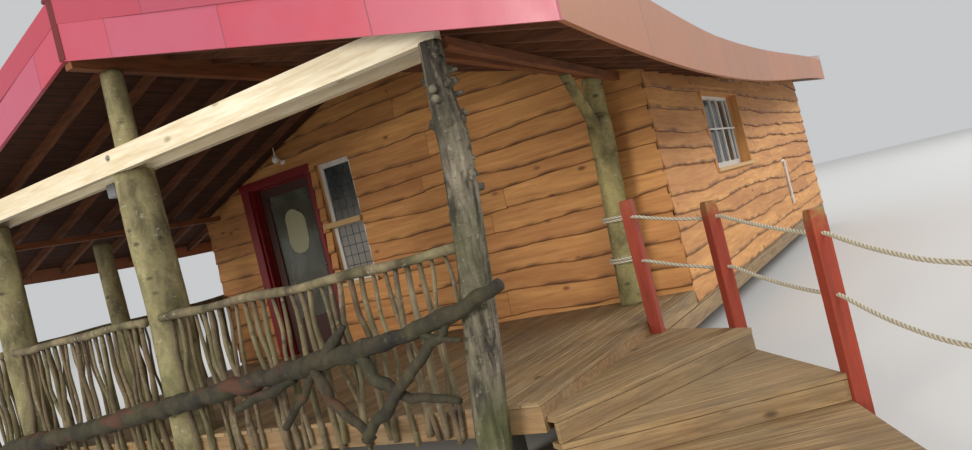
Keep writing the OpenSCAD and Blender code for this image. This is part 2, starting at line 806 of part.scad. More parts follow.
// A platform's plan, cut out round the rope post at the deck's side
module platform(plan, h) {
    linear_extrude(h) difference() {
        polygon(plan);
        translate([step_x0 - 1, post_1_y - rope_post_w / 2 - fit])
            square([rope_post_w + 1 + 2 * fit, rope_post_w + 2 * fit]);
    }
}

module step_upper() {
    color(wood) translate([0, 0, middle_z]) platform(upper_plan, step_h);
}

module step_middle() {
    color(wood) translate([0, 0, landing_z]) platform(middle_plan, step_h);
}

module step_landing() {
    color(wood) platform(landing_plan, landing_z);
}

// Rope handrail

// Routes of the ropes from the forked trunk through the posts, chosen by hand, with each
// point's x measured from the deck's right side
upper_points = [
    [-314, 2898, 1360], [-270, 2770, 1352], [-200, 2545, 1343], [-120, 2280, 1338],
    [-55, 2065, 1340], [-12, 1925, 1345], [105, 1815, 1345], [225, 1803, 1312],
    [355, 1790, 1278], [485, 1777, 1251], [610, 1763, 1231], [735, 1691, 1229],
    [840, 1575, 1200], [955, 1440, 1168], [1070, 1305, 1139], [1185, 1172, 1114],
    [1300, 1038, 1092], [1402, 918, 1076], [1486, 811, 1074], [1590, 660, 1038],
    [1710, 480, 1002], [1830, 300, 976], [1950, 120, 957], [2141, -144, 950], [2219, -256, 950],
    [2250, -300, 950]];
lower_points = [
    [-329, 2896, 990], [-278, 2770, 991], [-205, 2545, 991], [-123, 2280, 995],
    [-56, 2065, 1004], [-12, 1925, 1010], [105, 1815, 1010], [225, 1803, 974], [355, 1790, 936],
    [485, 1777, 905], [610, 1763, 877], [735, 1691, 873], [840, 1575, 843], [955, 1440, 812],
    [1070, 1305, 785], [1185, 1172, 763], [1300, 1038, 746], [1402, 918, 737], [1486, 811, 733],
    [1590, 660, 691], [1710, 480, 650], [1830, 300, 622], [1950, 120, 605], [2141, -144, 600],
    [2219, -256, 600], [2250, -300, 600]];
upper_route = [for (p = upper_points) [p[0] + half_w, p[1], p[2]]];
lower_route = [for (p = lower_points) [p[0] + half_w, p[1], p[2]]];
// Points of the routes just before each post, the next point being just behind it
before_posts = [5, 10, 17, 23];

// Directions along and out of the platforms' back edge and the middle step's outer edge
function left_of(v) = [-v[1], v[0]];
back_dir = unit(back_out - back_in);
edge_dir = unit(middle_out - back_out);
post_reach = rope_post_w / 2 + fit;
post_2 = back_out - 163 * back_dir + (post_reach * 1.27) * left_of(back_dir);
post_3 = middle_out - 20 * edge_dir + post_reach * left_of(edge_dir);
post_2_turn = -46;
post_4 = landing_out + [270, 20];
post_4_turn = -55;

// Each post: place in plan, height of its top and turn
rope_posts_at = [
    [half_w + post_reach, post_1_y, 1480, 0],
    [post_2[0], post_2[1], 1345, post_2_turn],
    [post_3[0], post_3[1], 1215, atan2(edge_dir[1], edge_dir[0])],
    [post_4[0], post_4[1], 1090, post_4_turn]];

// Room for a rope between two points of its route
module rope_room(a, b) {
    along_rope = b - a;
    translate((a + b) / 2)
        rotate([0, acos(along_rope[2] / norm(along_rope)), atan2(along_rope[1], along_rope[0])])
        cylinder(h = 2 * norm(along_rope), r = rope_r + rope_gap, center = true, $fn = 32);
}

module rope_posts() {
    color(red) for (i = [0:3]) let (p = rope_posts_at[i], k = before_posts[i]) difference() {
        translate([p[0], p[1], 0]) rotate([0, 0, p[3]])
            translate([-rope_post_w / 2, -rope_post_w / 2, 0])
            cube([rope_post_w, rope_post_w, p[2]]);
        rope_room(upper_route[k], upper_route[k + 1]);
        rope_room(lower_route[k], lower_route[k + 1]);
    }
}

// Two turns round the forked trunk, at one level of it
module rope_turns(level) {
    trunk_r = lookup(level, [for (g = forked_rings) [g[2], g[3]]])
        * max([for (j = [0:trunk_sides - 1]) lobe(j, forked_seed)]);
    turn_r = trunk_r + fit + rope_r;
    for (turn = [0, 1])
        translate([lookup(level, [for (g = forked_rings) [g[2], g[0]]]), forked_y,
            level - turn * (2 * rope_r - 1.5)])
            rotate_extrude($fn = 48) translate([turn_r, 0]) circle(r = rope_r, $fn = 16);
}

module rope(route) {
    union() {
        sweep(route, rope_r, 8, [0, 0, 1]);
        rope_turns(route[0][2]);
        translate(route[len(route) - 1]) sphere(r = 2.2 * rope_r, $fn = 16);
    }
}

module upper_rope() {
    color("wheat") rope(upper_route);
}

module lower_rope() {
    color("wheat") rope(lower_route);
}

// Balustrades

rail_y = -38;
rail_top = deck_z + rail_z;
function wobble(i, a, b) = a * sin(97 * i) + b * sin(41 * i + 30);

// A rail along X from x0 to x1 and its row of sticks up to x2, nailed to the rim at y = 0
module stick_panel(x0, x1, x2, seed) {
    steps = round((x1 - x0) / 240);
    count = round((x2 - x0) / stick_pitch);
    sweep([for (i = [0:steps]) [x0 + (x1 - x0) * i / steps, rail_y + wobble(i + seed, 4, 3),
        rail_top + wobble(i + seed + 5, 7, 6)]], rail_r, 10, [0, 1, 0]);
    for (k = [1:count - 1]) {
        r = 15 + 2.5 * sin(73 * k + seed);
        tilt = 3.5 * sin(131 * (k + seed)) + 2.5 * sin(57 * k);
        low = 385 + 30 * sin(89 * k + seed);
        translate([x0 + (x2 - x0) * k / count, -r - fit, rail_top - 4])
            rotate([0, 180 + tilt, 0]) cylinder(h = rail_top - low, r = r, $fn = 7);
    }
}

module front_balustrade() {
    color(bark) difference() {
        stick_panel(ridge_post_x + 100, right_post_x + 165, right_post_x + 10, 3);
        ridge_post();
        right_post();
        trunk_shell_room();
    }
}

// Room above the deck for the ridge post, so that a rail ends at its bark
module trunk_shell_room() {
    translate([ridge_post_x, ridge_post_y, 0])
        cylinder(h = deck_z, r = ridge_post_r * 1.06 + 1, $fn = 48);
}

module left_bay_balustrade() {
    color(bark) difference() {
        union() {
            stick_panel(left_post_x + 90, ridge_post_x - 100, ridge_post_x - 100, 8);
            stick_panel(-half_w + 40, left_post_x - 90, left_post_x - 90, 21);
        }
        ridge_post();
        left_post();
        trunk_shell_room();
    }
}

module side_balustrade() {
    color(bark) translate([-half_w, 0, 0]) rotate([0, 0, -90])
        stick_panel(-porch_depth + 2, -20, -20, 15);
}

// The sawn limb that crosses the front below the rail, with its side branches
limb_route = [[-2350, -140, 620], [-1700, -150, 675], [-1100, -140, 720], [-500, -150, 775],
    [-60, -132, 815], [400, -160, 850], [900, -170, 905], [1350, -185, 950], [1800, -195, 1000],
    [2200, -215, 1035], [2550, -235, 1095], [2850, -245, 1170], [3090, -275, 1245]];
limb_radii = [78, 76, 74, 72, 70, 66, 62, 58, 56, 52, 50, 47, 44];
module crossing_limb() {
    color(bark) difference() {
        union() {
            sweep(limb_route, limb_radii, 12, [0, 1, 0]);
            sweep([[700, -180, 880], [1000, -205, 800], [1300, -215, 690], [1500, -200, 560]],
                [40, 34, 28, 22], 8, [0, 1, 0]);
            sweep([[1500, -190, 970], [1850, -220, 860], [2150, -240, 800], [2420, -235, 810]],
                [40, 34, 30, 24], 8, [0, 1, 0]);
            sweep([[1900, -200, 1010], [2080, -225, 900], [2260, -245, 740], [2350, -240, 560]],
                [34, 28, 24, 20], 8, [0, 1, 0]);
            sweep([[300, -160, 845], [560, -190, 960], [800, -200, 1120], [960, -190, 1330]],
                [36, 30, 25, 20], 8, [0, 1, 0]);
        }
        ridge_post();
        right_post();
    }
}

// Small pieces

module porch_lamp() {
    color("white") union() {
        translate([-1480, porch_depth - 25, 2830]) cube([60, 25, 60]);
        translate([-1450, porch_depth - 20, 2860]) rotate([65, 0, 0])
            cylinder(h = 90, r = 10, $fn = 16);
        translate([-1450, porch_depth - 120, 2890]) sphere(r = 45, $fn = 24);
    }
}

pipe_r = 20;
module overflow_pipe() {
    color("white") union() {
        translate([half_w + pipe_r + 4, porch_depth + 5900, 740])
            cylinder(h = 640, r = pipe_r, $fn = 24);
        for (z = [820, 1300])
            translate([half_w, porch_depth + 5870, z]) cube([18, 60, 20]);
    }
}

porch_deck();
cabin_floor();
deck_frame();
floor_bearers();
floor_piers();
ridge_post();
left_post();
right_post();
forked_post();
side_post();
front_tie_beam();
inner_tie_beam();
right_side_beams();
left_side_beam();
ridge_beam();
right_rafters();
left_rafters();
right_roof();
left_roof();
ridge_cap();
right_barge_board();
left_barge_board();
rear_barge_boards();
right_eave_fascia();
left_eave_fascia();
front_wall_left();
front_wall_right();
front_wall_over_door();
right_wall();
left_wall();
rear_wall();
door_frame();
door_leaf();
door_glass();
door_handle();
window_frames();
window_glass();
window_sills();
step_upper();
step_middle();
step_landing();
rope_posts();
upper_rope();
lower_rope();
front_balustrade();
left_bay_balustrade();
side_balustrade();
crossing_limb();
porch_lamp();
overflow_pipe();
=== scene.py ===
"""The looks of a timber cabin with a porch of tree trunks, built round its CAD frame.

Every piece is in metres in the frame's own axes: X to the right along the porch, Y from the
porch to the rear wall, Z up from the ground. The origin is under the ridge post.
"""

import json
import math
import random
from collections import namedtuple

import bmesh
import bpy
from mathutils import Matrix, Vector, noise
from mathutils.kdtree import KDTree


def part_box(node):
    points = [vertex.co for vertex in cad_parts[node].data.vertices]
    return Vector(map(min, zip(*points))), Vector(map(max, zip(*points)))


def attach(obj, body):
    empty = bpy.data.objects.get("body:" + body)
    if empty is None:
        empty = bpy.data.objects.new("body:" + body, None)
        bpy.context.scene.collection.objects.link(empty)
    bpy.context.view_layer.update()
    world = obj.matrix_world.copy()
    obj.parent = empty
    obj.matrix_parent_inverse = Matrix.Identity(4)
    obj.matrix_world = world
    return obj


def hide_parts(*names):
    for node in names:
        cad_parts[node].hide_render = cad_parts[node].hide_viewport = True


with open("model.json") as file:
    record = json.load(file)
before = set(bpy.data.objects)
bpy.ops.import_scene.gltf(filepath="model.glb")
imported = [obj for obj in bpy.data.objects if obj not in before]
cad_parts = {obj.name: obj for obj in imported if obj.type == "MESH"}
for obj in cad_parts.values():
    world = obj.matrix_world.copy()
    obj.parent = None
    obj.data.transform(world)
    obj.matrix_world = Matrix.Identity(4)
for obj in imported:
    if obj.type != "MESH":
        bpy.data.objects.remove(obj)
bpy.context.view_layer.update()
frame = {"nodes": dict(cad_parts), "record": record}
Z = Vector((0, 0, 1))


# Camera

EYE = Vector((5.08, -3.55, 1.55))
HEADING = math.radians(31.2)
ROLL = math.radians(13.9)
FOCAL_PIXELS = 760
IMAGE_WIDTH = 972
SENSOR_WIDTH = 36


def add_camera():
    """A level view from beside the steps, held at a slant as the picture was."""
    ahead = Vector((-math.sin(HEADING), math.cos(HEADING), 0))
    right = Vector((math.cos(HEADING), math.sin(HEADING), 0))
    camera_x = right * math.cos(ROLL) - Z * math.sin(ROLL)
    camera_y = right * math.sin(ROLL) + Z * math.cos(ROLL)
    turn = Matrix((camera_x, camera_y, -ahead)).transposed().to_4x4()
    data = bpy.data.cameras.new("camera")
    data.sensor_fit = "HORIZONTAL"
    data.sensor_width = SENSOR_WIDTH
    data.lens = SENSOR_WIDTH * FOCAL_PIXELS / IMAGE_WIDTH
    data.clip_end = 200
    camera = bpy.data.objects.new("camera", data)
    camera.matrix_world = Matrix.Translation(EYE) @ turn
    bpy.context.scene.collection.objects.link(camera)
    bpy.context.scene.camera = camera


add_camera()


# Materials

finishes = {}


class Tone:
    """A socket of a finish's nodes. Python's operators on it add Math nodes."""

    def __init__(self, finish, socket):
        self.finish = finish
        self.socket = socket

    def maths(self, operation, first, second):
        return self.finish.node("ShaderNodeMath", {"operation": operation}, {0: first, 1: second})

    def __add__(self, other):
        return self.maths("ADD", self, other)

    __radd__ = __add__

    def __sub__(self, other):
        return self.maths("SUBTRACT", self, other)

    def __rsub__(self, other):
        return self.maths("SUBTRACT", other, self)

    def __mul__(self, other):
        return self.maths("MULTIPLY", self, other)

    __rmul__ = __mul__

    def __pow__(self, other):
        return self.maths("POWER", self, other)

    def fraction(self):
        return self.maths("FRACT", self, 0)

    def sine(self):
        return self.maths("SINE", self, 0)

    def size(self):
        return self.maths("ABSOLUTE", self, 0)


class Finish:
    """A material under construction, kept by its name: one shader and the nodes that feed it."""

    def __init__(self, name, **plain):
        self.material = bpy.data.materials.new(name)
        self.material.use_nodes = True
        self.tree = self.material.node_tree
        self.shader = self.tree.nodes["Principled BSDF"]
        self.feed(**plain)
        finishes[name] = self.material

    def node(self, kind, settings, values, output=0):
        """Adds a node: its settings first, then the values or links of its sockets."""
        made = self.tree.nodes.new(kind)
        for label, value in settings.items():
            setattr(made, label, value)
        for label, value in values.items():
            self.fill(made.inputs[label], value)
        return Tone(self, made.outputs[output])

    def fill(self, socket, value):
        if isinstance(value, Tone):
            self.tree.links.new(value.socket, socket)
        else:
            socket.default_value = value

    def feed(self, **values):
        """Sets the shader's own sockets, or links what changes over the surface to them."""
        for label, value in values.items():
            self.fill(self.shader.inputs[label.replace("_", " ").title()], value)

    def place(self):
        return self.node("ShaderNodeTexCoord", {}, {}, "Object")

    def grain_map(self):
        return self.node("ShaderNodeTexCoord", {}, {}, "UV")

    def stretch(self, vector, scale, shift=(0, 0, 0)):
        return self.node("ShaderNodeMapping", {"vector_type": "POINT"}, {
            "Vector": vector, "Scale": scale, "Location": shift})

    def clouds(self, vector, scale, detail, roughness, distortion=0.0):
        return self.node("ShaderNodeTexNoise", {}, {
            "Vector": vector, "Scale": scale, "Detail": detail, "Roughness": roughness,
            "Distortion": distortion})

    def cells(self, vector, scale):
        return self.node("ShaderNodeTexVoronoi", {"feature": "F1"}, {
            "Vector": vector, "Scale": scale, "Randomness": 1.0})

    def between(self, factor, low, high):
        """0 below low, 1 above high."""
        return self.node("ShaderNodeMapRange", {"clamp": True}, {
            "Value": factor, "From Min": low, "From Max": high})

    def mix(self, factor, first, second):
        return self.node("ShaderNodeMix", {"data_type": "RGBA"}, {
            "Factor": factor, 6: self.solid(first), 7: self.solid(second)}, 2)

    def overlay(self, body, pattern, low, high, shade, share=1.0):
        """The body with a shade laid over it where the pattern goes from low to high."""
        return self.mix(self.between(pattern, low, high) * share, body, shade)

    def solid(self, shade):
        return shade if isinstance(shade, Tone) else (*shade, 1)

    def part(self, vector, axis):
        return self.node("ShaderNodeSeparateXYZ", {}, {"Vector": vector}, axis)

    def attribute(self, name):
        return self.node("ShaderNodeAttribute", {"attribute_name": name}, {}, "Fac")

    def bump(self, height, depth, strength):
        return self.node("ShaderNodeBump", {}, {
            "Height": height, "Distance": depth, "Strength": strength})


def colour(red, green, blue):
    """A colour given as the screen shows it, 0 to 255, in the renderer's linear light."""
    return tuple(((c / 255 + 0.055) / 1.055) ** 2.4 if c > 10 else c / 255 / 12.92
        for c in (red, green, blue))


def mixed(first, second, share):
    return tuple(a + (b - a) * share for a, b in zip(first, second))


def timber(name, light, dark, run="uv", roughness=0.7, knots=0.6, weathering=0.0, spread=0.35,
        contrast=1.0):
    """Sawn wood: fibres along the run, broad streaks, knots and a tone of its own for each board."""
    finish = Finish(name)
    along = {"uv": (1.1, 13, 1), "x": (1.1, 13, 13), "y": (13, 1.1, 13)}[run]
    base = finish.grain_map() if run == "uv" else finish.place()
    fibres = finish.clouds(finish.stretch(base, along), 2.4, 7, 0.68, 0.5)
    streaks = finish.clouds(finish.stretch(base, along, (4, 2, 7)), 0.7, 2, 0.5, 0.8)
    figure = finish.clouds(finish.stretch(base, along, (9, 5, 3)), 0.45, 1, 0.4, 1.2)
    ring_lines = ((figure * 22).sine() * 0.5 + 0.5) ** 3
    reach = finish.cells(finish.stretch(base, tuple(min(s, 2.2) for s in along)), 2.1)
    knot = (1 - finish.between(reach, 0.05, 0.13)) * knots
    body = finish.overlay(mixed(light, dark, 0.45), streaks, 0.3, 0.7, light)
    body = finish.overlay(body, fibres, 0.42, 0.74, dark, 0.8 * contrast)
    body = finish.mix(ring_lines * (0.3 * contrast), body, dark)
    body = finish.mix(knot, body, mixed(dark, (0.02, 0.008, 0.003), 0.55))
    if run == "uv":
        body = finish.mix(finish.attribute("tone") * spread, body, dark)
        # Board edges: painted shadow in the gap under each waney edge, partly its dark bark band.
        shadow = mixed(dark, (0.012, 0.006, 0.003), 0.75)
        body = finish.mix(finish.attribute("edge") * 0.85, body, shadow)
    if weathering:
        worn = finish.clouds(finish.place(), 1.7, 3, 0.6)
        body = finish.overlay(body, worn, 0.4, 0.75, colour(120, 116, 98), weathering)
    finish.feed(Base_Color=body, Roughness=fibres * 0.25 + (roughness - 0.12),
        Normal=finish.bump(fibres * 0.5 + knot * 0.6, 0.003, 0.6))


def bark(name, light, dark, moss=0.3, bare=None, lichen_share=0.5, furrows=0.0):
    """Bark with level marks, old scars, pale lichen and moss low down. Old bark has upright
    furrows, darkened with painted shade, and a limb has bare patches where it has peeled."""
    finish = Finish(name, roughness=0.85)
    base = finish.place()
    patches = finish.clouds(finish.stretch(base, (1, 1, 0.55)), 5.5, 5, 0.62, 0.3)
    marks = finish.clouds(finish.stretch(base, (6, 6, 26)), 2.6, 4, 0.6, 0.4)
    lichen = finish.clouds(base, 21.0, 3, 0.6)
    body = finish.overlay(dark, patches, 0.34, 0.66, light)
    body = finish.overlay(body, marks, 0.58, 0.72, mixed(dark, (0.01, 0.01, 0.01), 0.5), 0.65)
    if furrows:
        cracks = finish.clouds(finish.stretch(base, (8, 8, 1.2)), 1.9, 5, 0.62, 0.6)
        # Painted shade: the furrows darkened towards black, where shade falls in the cracks.
        depth = mixed(dark, (0.006, 0.005, 0.004), 0.6)
        body = finish.overlay(body, cracks, 0.46, 0.6, depth, furrows)
    scars = finish.cells(finish.stretch(base, (1, 1, 1.7)), 4.6)
    body = finish.mix((1 - finish.between(scars, 0.07, 0.17)) * 0.75, body, colour(44, 38, 30))
    body = finish.overlay(body, lichen, 0.62, 0.72, colour(186, 184, 158), lichen_share)
    green = finish.clouds(base, 2.3, 3, 0.55)
    low = 1 - finish.between(finish.part(base, 2), 0.2, 2.2)
    moss_green = mixed(colour(86, 92, 44), dark, 0.65 if bare else 0.0)
    body = finish.overlay(body, green, 0.42, 0.66, moss_green, low * 0.6 + moss * 0.5)
    if bare:
        peeled = finish.clouds(finish.stretch(base, (0.8, 1.6, 1.6)), 1.5, 5, 0.62, 0.4)
        body = finish.overlay(body, peeled, 0.54, 0.6, bare, 0.85)
    body = finish.mix(finish.attribute("tone") * 0.5, body, colour(84, 60, 40))
    relief = patches * 0.5 + marks * 0.8 + lichen * 0.3
    finish.feed(Base_Color=body, Normal=finish.bump(relief, 0.006, 0.8))


def sheet_metal(name, shade, worn_and_sheen_shade, joints, axis, gloss):
    """Coated sheet with a soft mottle that is partly painted sheen, a painted reflection that differs from
    panel to panel, and a thin dark joint between panels.
    """
    finish = Finish(name)
    base = finish.place()
    run = finish.part(base, axis)
    clouding = finish.clouds(base, 1.4, 4, 0.6)
    # The mottle goes toward a pale colour that is partly wear and partly painted sheen.
    body = finish.overlay(mixed(shade, worn_and_sheen_shade, 0.35), clouding, 0.35, 0.7, shade)
    for joint in joints:
        line = 1 - finish.between((run - joint).size(), 0.003, 0.006)
        body = finish.mix(line * 0.75, body, mixed(shade, (0.02, 0.01, 0.01), 0.8))
    # Painted reflection: each panel takes a share of the pale colour of its own, as flat sheets catch the
    # light each their own way.
    panel = sum(finish.between(run, joint - 0.002, joint + 0.002) for joint in joints)
    body = finish.mix((panel * 0.37 + 0.21).fraction() * 0.55, body, worn_and_sheen_shade)
    dirt = finish.clouds(finish.stretch(base, (1, 1, 0.6)), 4.0, 6, 0.7)
    grime = mixed(worn_and_sheen_shade, (0.1, 0.08, 0.06), 0.4)
    body = finish.overlay(body, dirt, 0.6, 0.85, grime, 0.35)
    ripple = finish.clouds(base, 2.2, 2, 0.4)
    finish.feed(Base_Color=body, Roughness=dirt * 0.3 + (gloss - 0.1),
        Normal=finish.bump(ripple, 0.012, 0.35))


def painted_timber(name, shade, worn, roughness, moss_share=0.0):
    """Stained or painted wood: grain through the coat, worn edges and weather stains."""
    finish = Finish(name)
    base = finish.place()
    grain = finish.clouds(finish.stretch(base, (16, 16, 1.3)), 2.4, 6, 0.65, 0.3)
    wear = finish.clouds(base, 8.0, 6, 0.72)
    body = finish.overlay(shade, grain, 0.35, 0.75, mixed(shade, (0.03, 0.012, 0.01), 0.45))
    body = finish.overlay(body, wear, 0.60, 0.70, worn, 0.7)
    if moss_share:
        green = finish.clouds(base, 13.0, 4, 0.6)
        mossy = finish.attribute("edge") * moss_share
        body = finish.overlay(body, green, 0.36, 0.56, colour(146, 122, 68), mossy)
    finish.feed(Base_Color=body, Roughness=wear * 0.3 + (roughness - 0.1),
        Normal=finish.bump(grain, 0.002, 0.5))


def rope_fibre(name):
    """Pale laid rope: fine fibres along the strands, painted shade in the grooves between them."""
    finish = Finish(name, roughness=0.8)
    fibres = finish.clouds(finish.stretch(finish.grain_map(), (40, 6, 1)), 3.0, 4, 0.6)
    body = finish.overlay(colour(226, 218, 196), fibres, 0.35, 0.7, colour(200, 190, 164))
    # Painted shade in the grooves between the strands.
    body = finish.mix(finish.attribute("edge") * 0.8, body, colour(112, 102, 84))
    finish.feed(Base_Color=body, Normal=finish.bump(fibres, 0.0008, 0.5))


def clear_pane(name, shade, clearness, haze=None):
    """Window glass that is dark behind, with faint streaks of dust; front panes get hazy lower down."""
    finish = Finish(name)
    base = finish.place()
    dust = finish.clouds(finish.stretch(base, (1, 1, 0.4)), 3.0, 5, 0.7)
    body = finish.overlay(shade, dust, 0.4, 0.8, mixed(shade, (0.5, 0.5, 0.45), 0.35))
    clearing = dust * 0.15 + clearness
    if haze:
        in_front = finish.between(finish.part(base, 1), 3.6, 3.4)
        hazy = in_front * finish.between(finish.part(base, 2), 2.45, 1.75)
        body = finish.mix(hazy * (dust * 0.6 + 0.6), body, haze)
        clearing = clearing + hazy * 0.3
    finish.feed(Base_Color=body, Roughness=dust * 0.2 + 0.02, Alpha=clearing)


def roof_sheet(name):
    """Red coated sheet above; below it the dark ceiling boards, which run from end to end."""
    finish = Finish(name)
    base = finish.place()
    facing = finish.part(finish.node("ShaderNodeNewGeometry", {}, {}, "True Normal"), 2)
    above = finish.between(facing, -0.05, 0.05)
    clouding = finish.clouds(base, 1.3, 5, 0.62)
    streaks = finish.clouds(finish.stretch(base, (0.5, 9, 9)), 1.6, 5, 0.7)
    sheet = finish.overlay(colour(166, 40, 46), clouding, 0.3, 0.75, colour(186, 52, 58))
    sheet = finish.overlay(sheet, streaks, 0.55, 0.85, colour(122, 44, 42), 0.35)
    board_width = 0.095
    across = (finish.part(base, 0).size() * (1 / board_width)).fraction()
    groove = 1 - finish.between((across - 0.5).size(), 0.0, 0.07)
    fibres = finish.clouds(finish.stretch(base, (13, 1.1, 13)), 2.4, 6, 0.66, 0.4)
    boards = finish.overlay(colour(78, 42, 24), fibres, 0.38, 0.74, colour(40, 20, 11))
    boards = finish.mix(groove * 0.9, boards, colour(10, 6, 4))
    relief = (groove * -0.7 + fibres * 0.2) * (1 - above)
    finish.feed(Base_Color=finish.mix(above, boards, sheet),
        Roughness=streaks * 0.3 + 0.25 + (1 - above) * 0.5, Normal=finish.bump(relief, 0.006, 0.5))


def stone(name, shade):
    """Concrete with fine pores and green stains."""
    finish = Finish(name, roughness=0.9)
    base = finish.place()
    pores = finish.clouds(base, 30.0, 6, 0.7)
    stains = finish.clouds(base, 2.5, 4, 0.6)
    body = finish.overlay(shade, pores, 0.35, 0.7, mixed(shade, (0.1, 0.1, 0.09), 0.5))
    body = finish.overlay(body, stains, 0.45, 0.7, colour(92, 96, 66), 0.5)
    finish.feed(Base_Color=body, Normal=finish.bump(pores, 0.003, 0.7))


def smooth_plastic(name, shade, roughness=0.35):
    finish = Finish(name)
    haze = finish.clouds(finish.place(), 14.0, 4, 0.6)
    body = finish.overlay(shade, haze, 0.4, 0.75, mixed(shade, (0.3, 0.29, 0.24), 0.25))
    finish.feed(Base_Color=body, Roughness=haze * 0.2 + (roughness - 0.1))


def worn_metal(name, shade):
    finish = Finish(name, metallic=1.0)
    haze = finish.clouds(finish.stretch(finish.place(), (3, 3, 40)), 6.0, 4, 0.6)
    body = finish.mix(haze, shade, mixed(shade, (0.2, 0.18, 0.15), 0.5))
    finish.feed(Base_Color=body, Roughness=haze * 0.3 + 0.2)


timber("deck_timber", colour(184, 152, 106), colour(92, 66, 40), knots=0.8, weathering=0.45)
timber("frame_timber", colour(168, 132, 86), colour(92, 66, 40), "x", weathering=0.4)
timber("pale_beam", colour(240, 230, 204), colour(202, 178, 134), "x", 0.6, 0.75)
timber("roof_timber", colour(126, 74, 40), colour(60, 31, 16), "x", 0.75, 0.5)
timber("side_beam_timber", colour(150, 90, 50), colour(78, 42, 22), "y", 0.7, 0.5)
timber("wall_boards", colour(228, 168, 98), colour(148, 86, 42), knots=0.85, spread=0.42,
    contrast=0.6)
timber("sill_timber", colour(206, 170, 116), colour(146, 106, 62), knots=0.5)
timber("floor_timber", colour(186, 150, 104), colour(112, 78, 46), "y")
stone("concrete", colour(140, 138, 130))
bark("trunk_bark", colour(158, 147, 104), colour(88, 79, 54), 0.15)
bark("rough_bark", colour(134, 124, 104), colour(50, 42, 32), 0.15, None, 0.35, 0.9)
bark("pale_bark", colour(176, 162, 108), colour(104, 93, 60), 0.25)
bark("stick_bark", colour(146, 130, 100), colour(68, 57, 42), 0.2)
bark("limb_bark", colour(74, 64, 42), colour(32, 27, 19), 0.22, colour(84, 50, 32), 0.08, 0.5)
# Each sheet's second colour stands for its wear and for painted sheen.
sheet_metal("red_sheet", colour(186, 60, 76), colour(170, 96, 120),
    (-2.6, -1.45, -0.34, 0.55, 1.62, 2.7), 0, 0.3)
sheet_metal("deep_red_sheet", colour(176, 50, 64), colour(156, 78, 100),
    (-3.1, -2.05, -0.9, 0.95, 2.1, 3.15), 0, 0.3)
sheet_metal("pale_sheet", colour(186, 178, 172), colour(158, 150, 142), (-1.9, 1.9), 0, 0.4)
sheet_metal("tan_sheet", colour(176, 114, 80), colour(150, 106, 84),
    (1.1, 3.35, 5.7, 8.1, 10.4), 1, 0.42)
roof_sheet("roof_sheet")
painted_timber("red_timber", colour(132, 14, 16), colour(80, 16, 14), 0.45)
painted_timber("cover_red", colour(104, 12, 18), colour(70, 12, 14), 0.65)
painted_timber("door_timber", colour(74, 40, 28), colour(98, 60, 40), 0.5)
painted_timber("white_frame", colour(226, 224, 216), colour(176, 168, 146), 0.45)
painted_timber("rope_post_timber", colour(160, 60, 36), colour(108, 58, 40), 0.7, 1.0)
clear_pane("door_pane", colour(92, 92, 78), 0.62)
clear_pane("window_pane", colour(58, 66, 70), 0.5, colour(150, 146, 138))
worn_metal("brushed_metal", colour(188, 186, 178))
rope_fibre("rope")
smooth_plastic("lamp_glass", colour(240, 238, 232), 0.25)
smooth_plastic("pipe_plastic", colour(222, 221, 216))
smooth_plastic("box_plastic", colour(118, 122, 128))
smooth_plastic("lead", colour(34, 34, 33), 0.5)
smooth_plastic("frosted_glass", colour(168, 166, 128), 0.5)

node_finishes = {entry["node"]: entry["material_slot"] for entry in frame["record"]["subparts"]}
node_finishes.update({
    "rear_barge_boards": "pale_sheet", "right_roof": "roof_sheet", "left_roof": "roof_sheet",
    "left_side_beam": "side_beam_timber", "right_side_beams": "side_beam_timber",
    "ridge_beam": "side_beam_timber", "window_sills": "sill_timber", "cabin_floor": "floor_timber"})
for node_name, node_object in frame["nodes"].items():
    node_object.data.materials.clear()
    node_object.data.materials.append(finishes[node_finishes[node_name]])


# Shapes that several pieces are made with

def moved(x, y, z):
    return Matrix.Translation((x, y, z))


def turned(degrees, axis="Z"):
    return Matrix.Rotation(math.radians(degrees), 4, axis)


def keep_piece(bm, name, finish, body="house", replaced=(), smooth=True):
    """Makes a finished bmesh a piece that rides on a body."""
    bmesh.ops.recalc_face_normals(bm, faces=bm.faces)
    mesh = bpy.data.meshes.new(name)
    bm.to_mesh(mesh)
    bm.free()
    for polygon in mesh.polygons:
        polygon.use_smooth = smooth
    mesh.materials.append(finishes[finish])
    piece = bpy.data.objects.new(name, mesh)
    bpy.context.scene.collection.objects.link(piece)
    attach(piece, body)
    if replaced:
        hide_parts(*replaced)
    return piece


def new_shape():
    """An empty bmesh with a grain map and each point's tone and edge share."""
    bm = bmesh.new()
    bm.loops.layers.uv.new("grain")
    bm.verts.layers.float.new("tone")
    bm.verts.layers.float.new("edge")
    return bm


def layers_of(bm):
    """The grain map, and the tone and edge share of the points."""
    points = bm.verts.layers.float
    return bm.loops.layers.uv["grain"], points["tone"], points["edge"]


def add_surface(bm, columns, rows, place, tone=0.0):
    """A grid whose points place(u, v) sends to (position, (grain u, grain v), edge share)."""
    grid = bmesh.ops.create_grid(bm, x_segments=columns, y_segments=rows, size=0.5)
    grain_map, tone_layer, edge_layer = layers_of(bm)
    grain_of = {}
    for vert in grid["verts"]:
        vert.co, grain_of[vert], vert[edge_layer] = place(vert.co.x + 0.5, vert.co.y + 0.5)
        vert[tone_layer] = tone
    faces = {face for vert in grid["verts"] for face in vert.link_faces}
    for face in faces:
        for loop in face.loops:
            loop[grain_map].uv = grain_of[loop.vert]
    return grid["verts"], faces


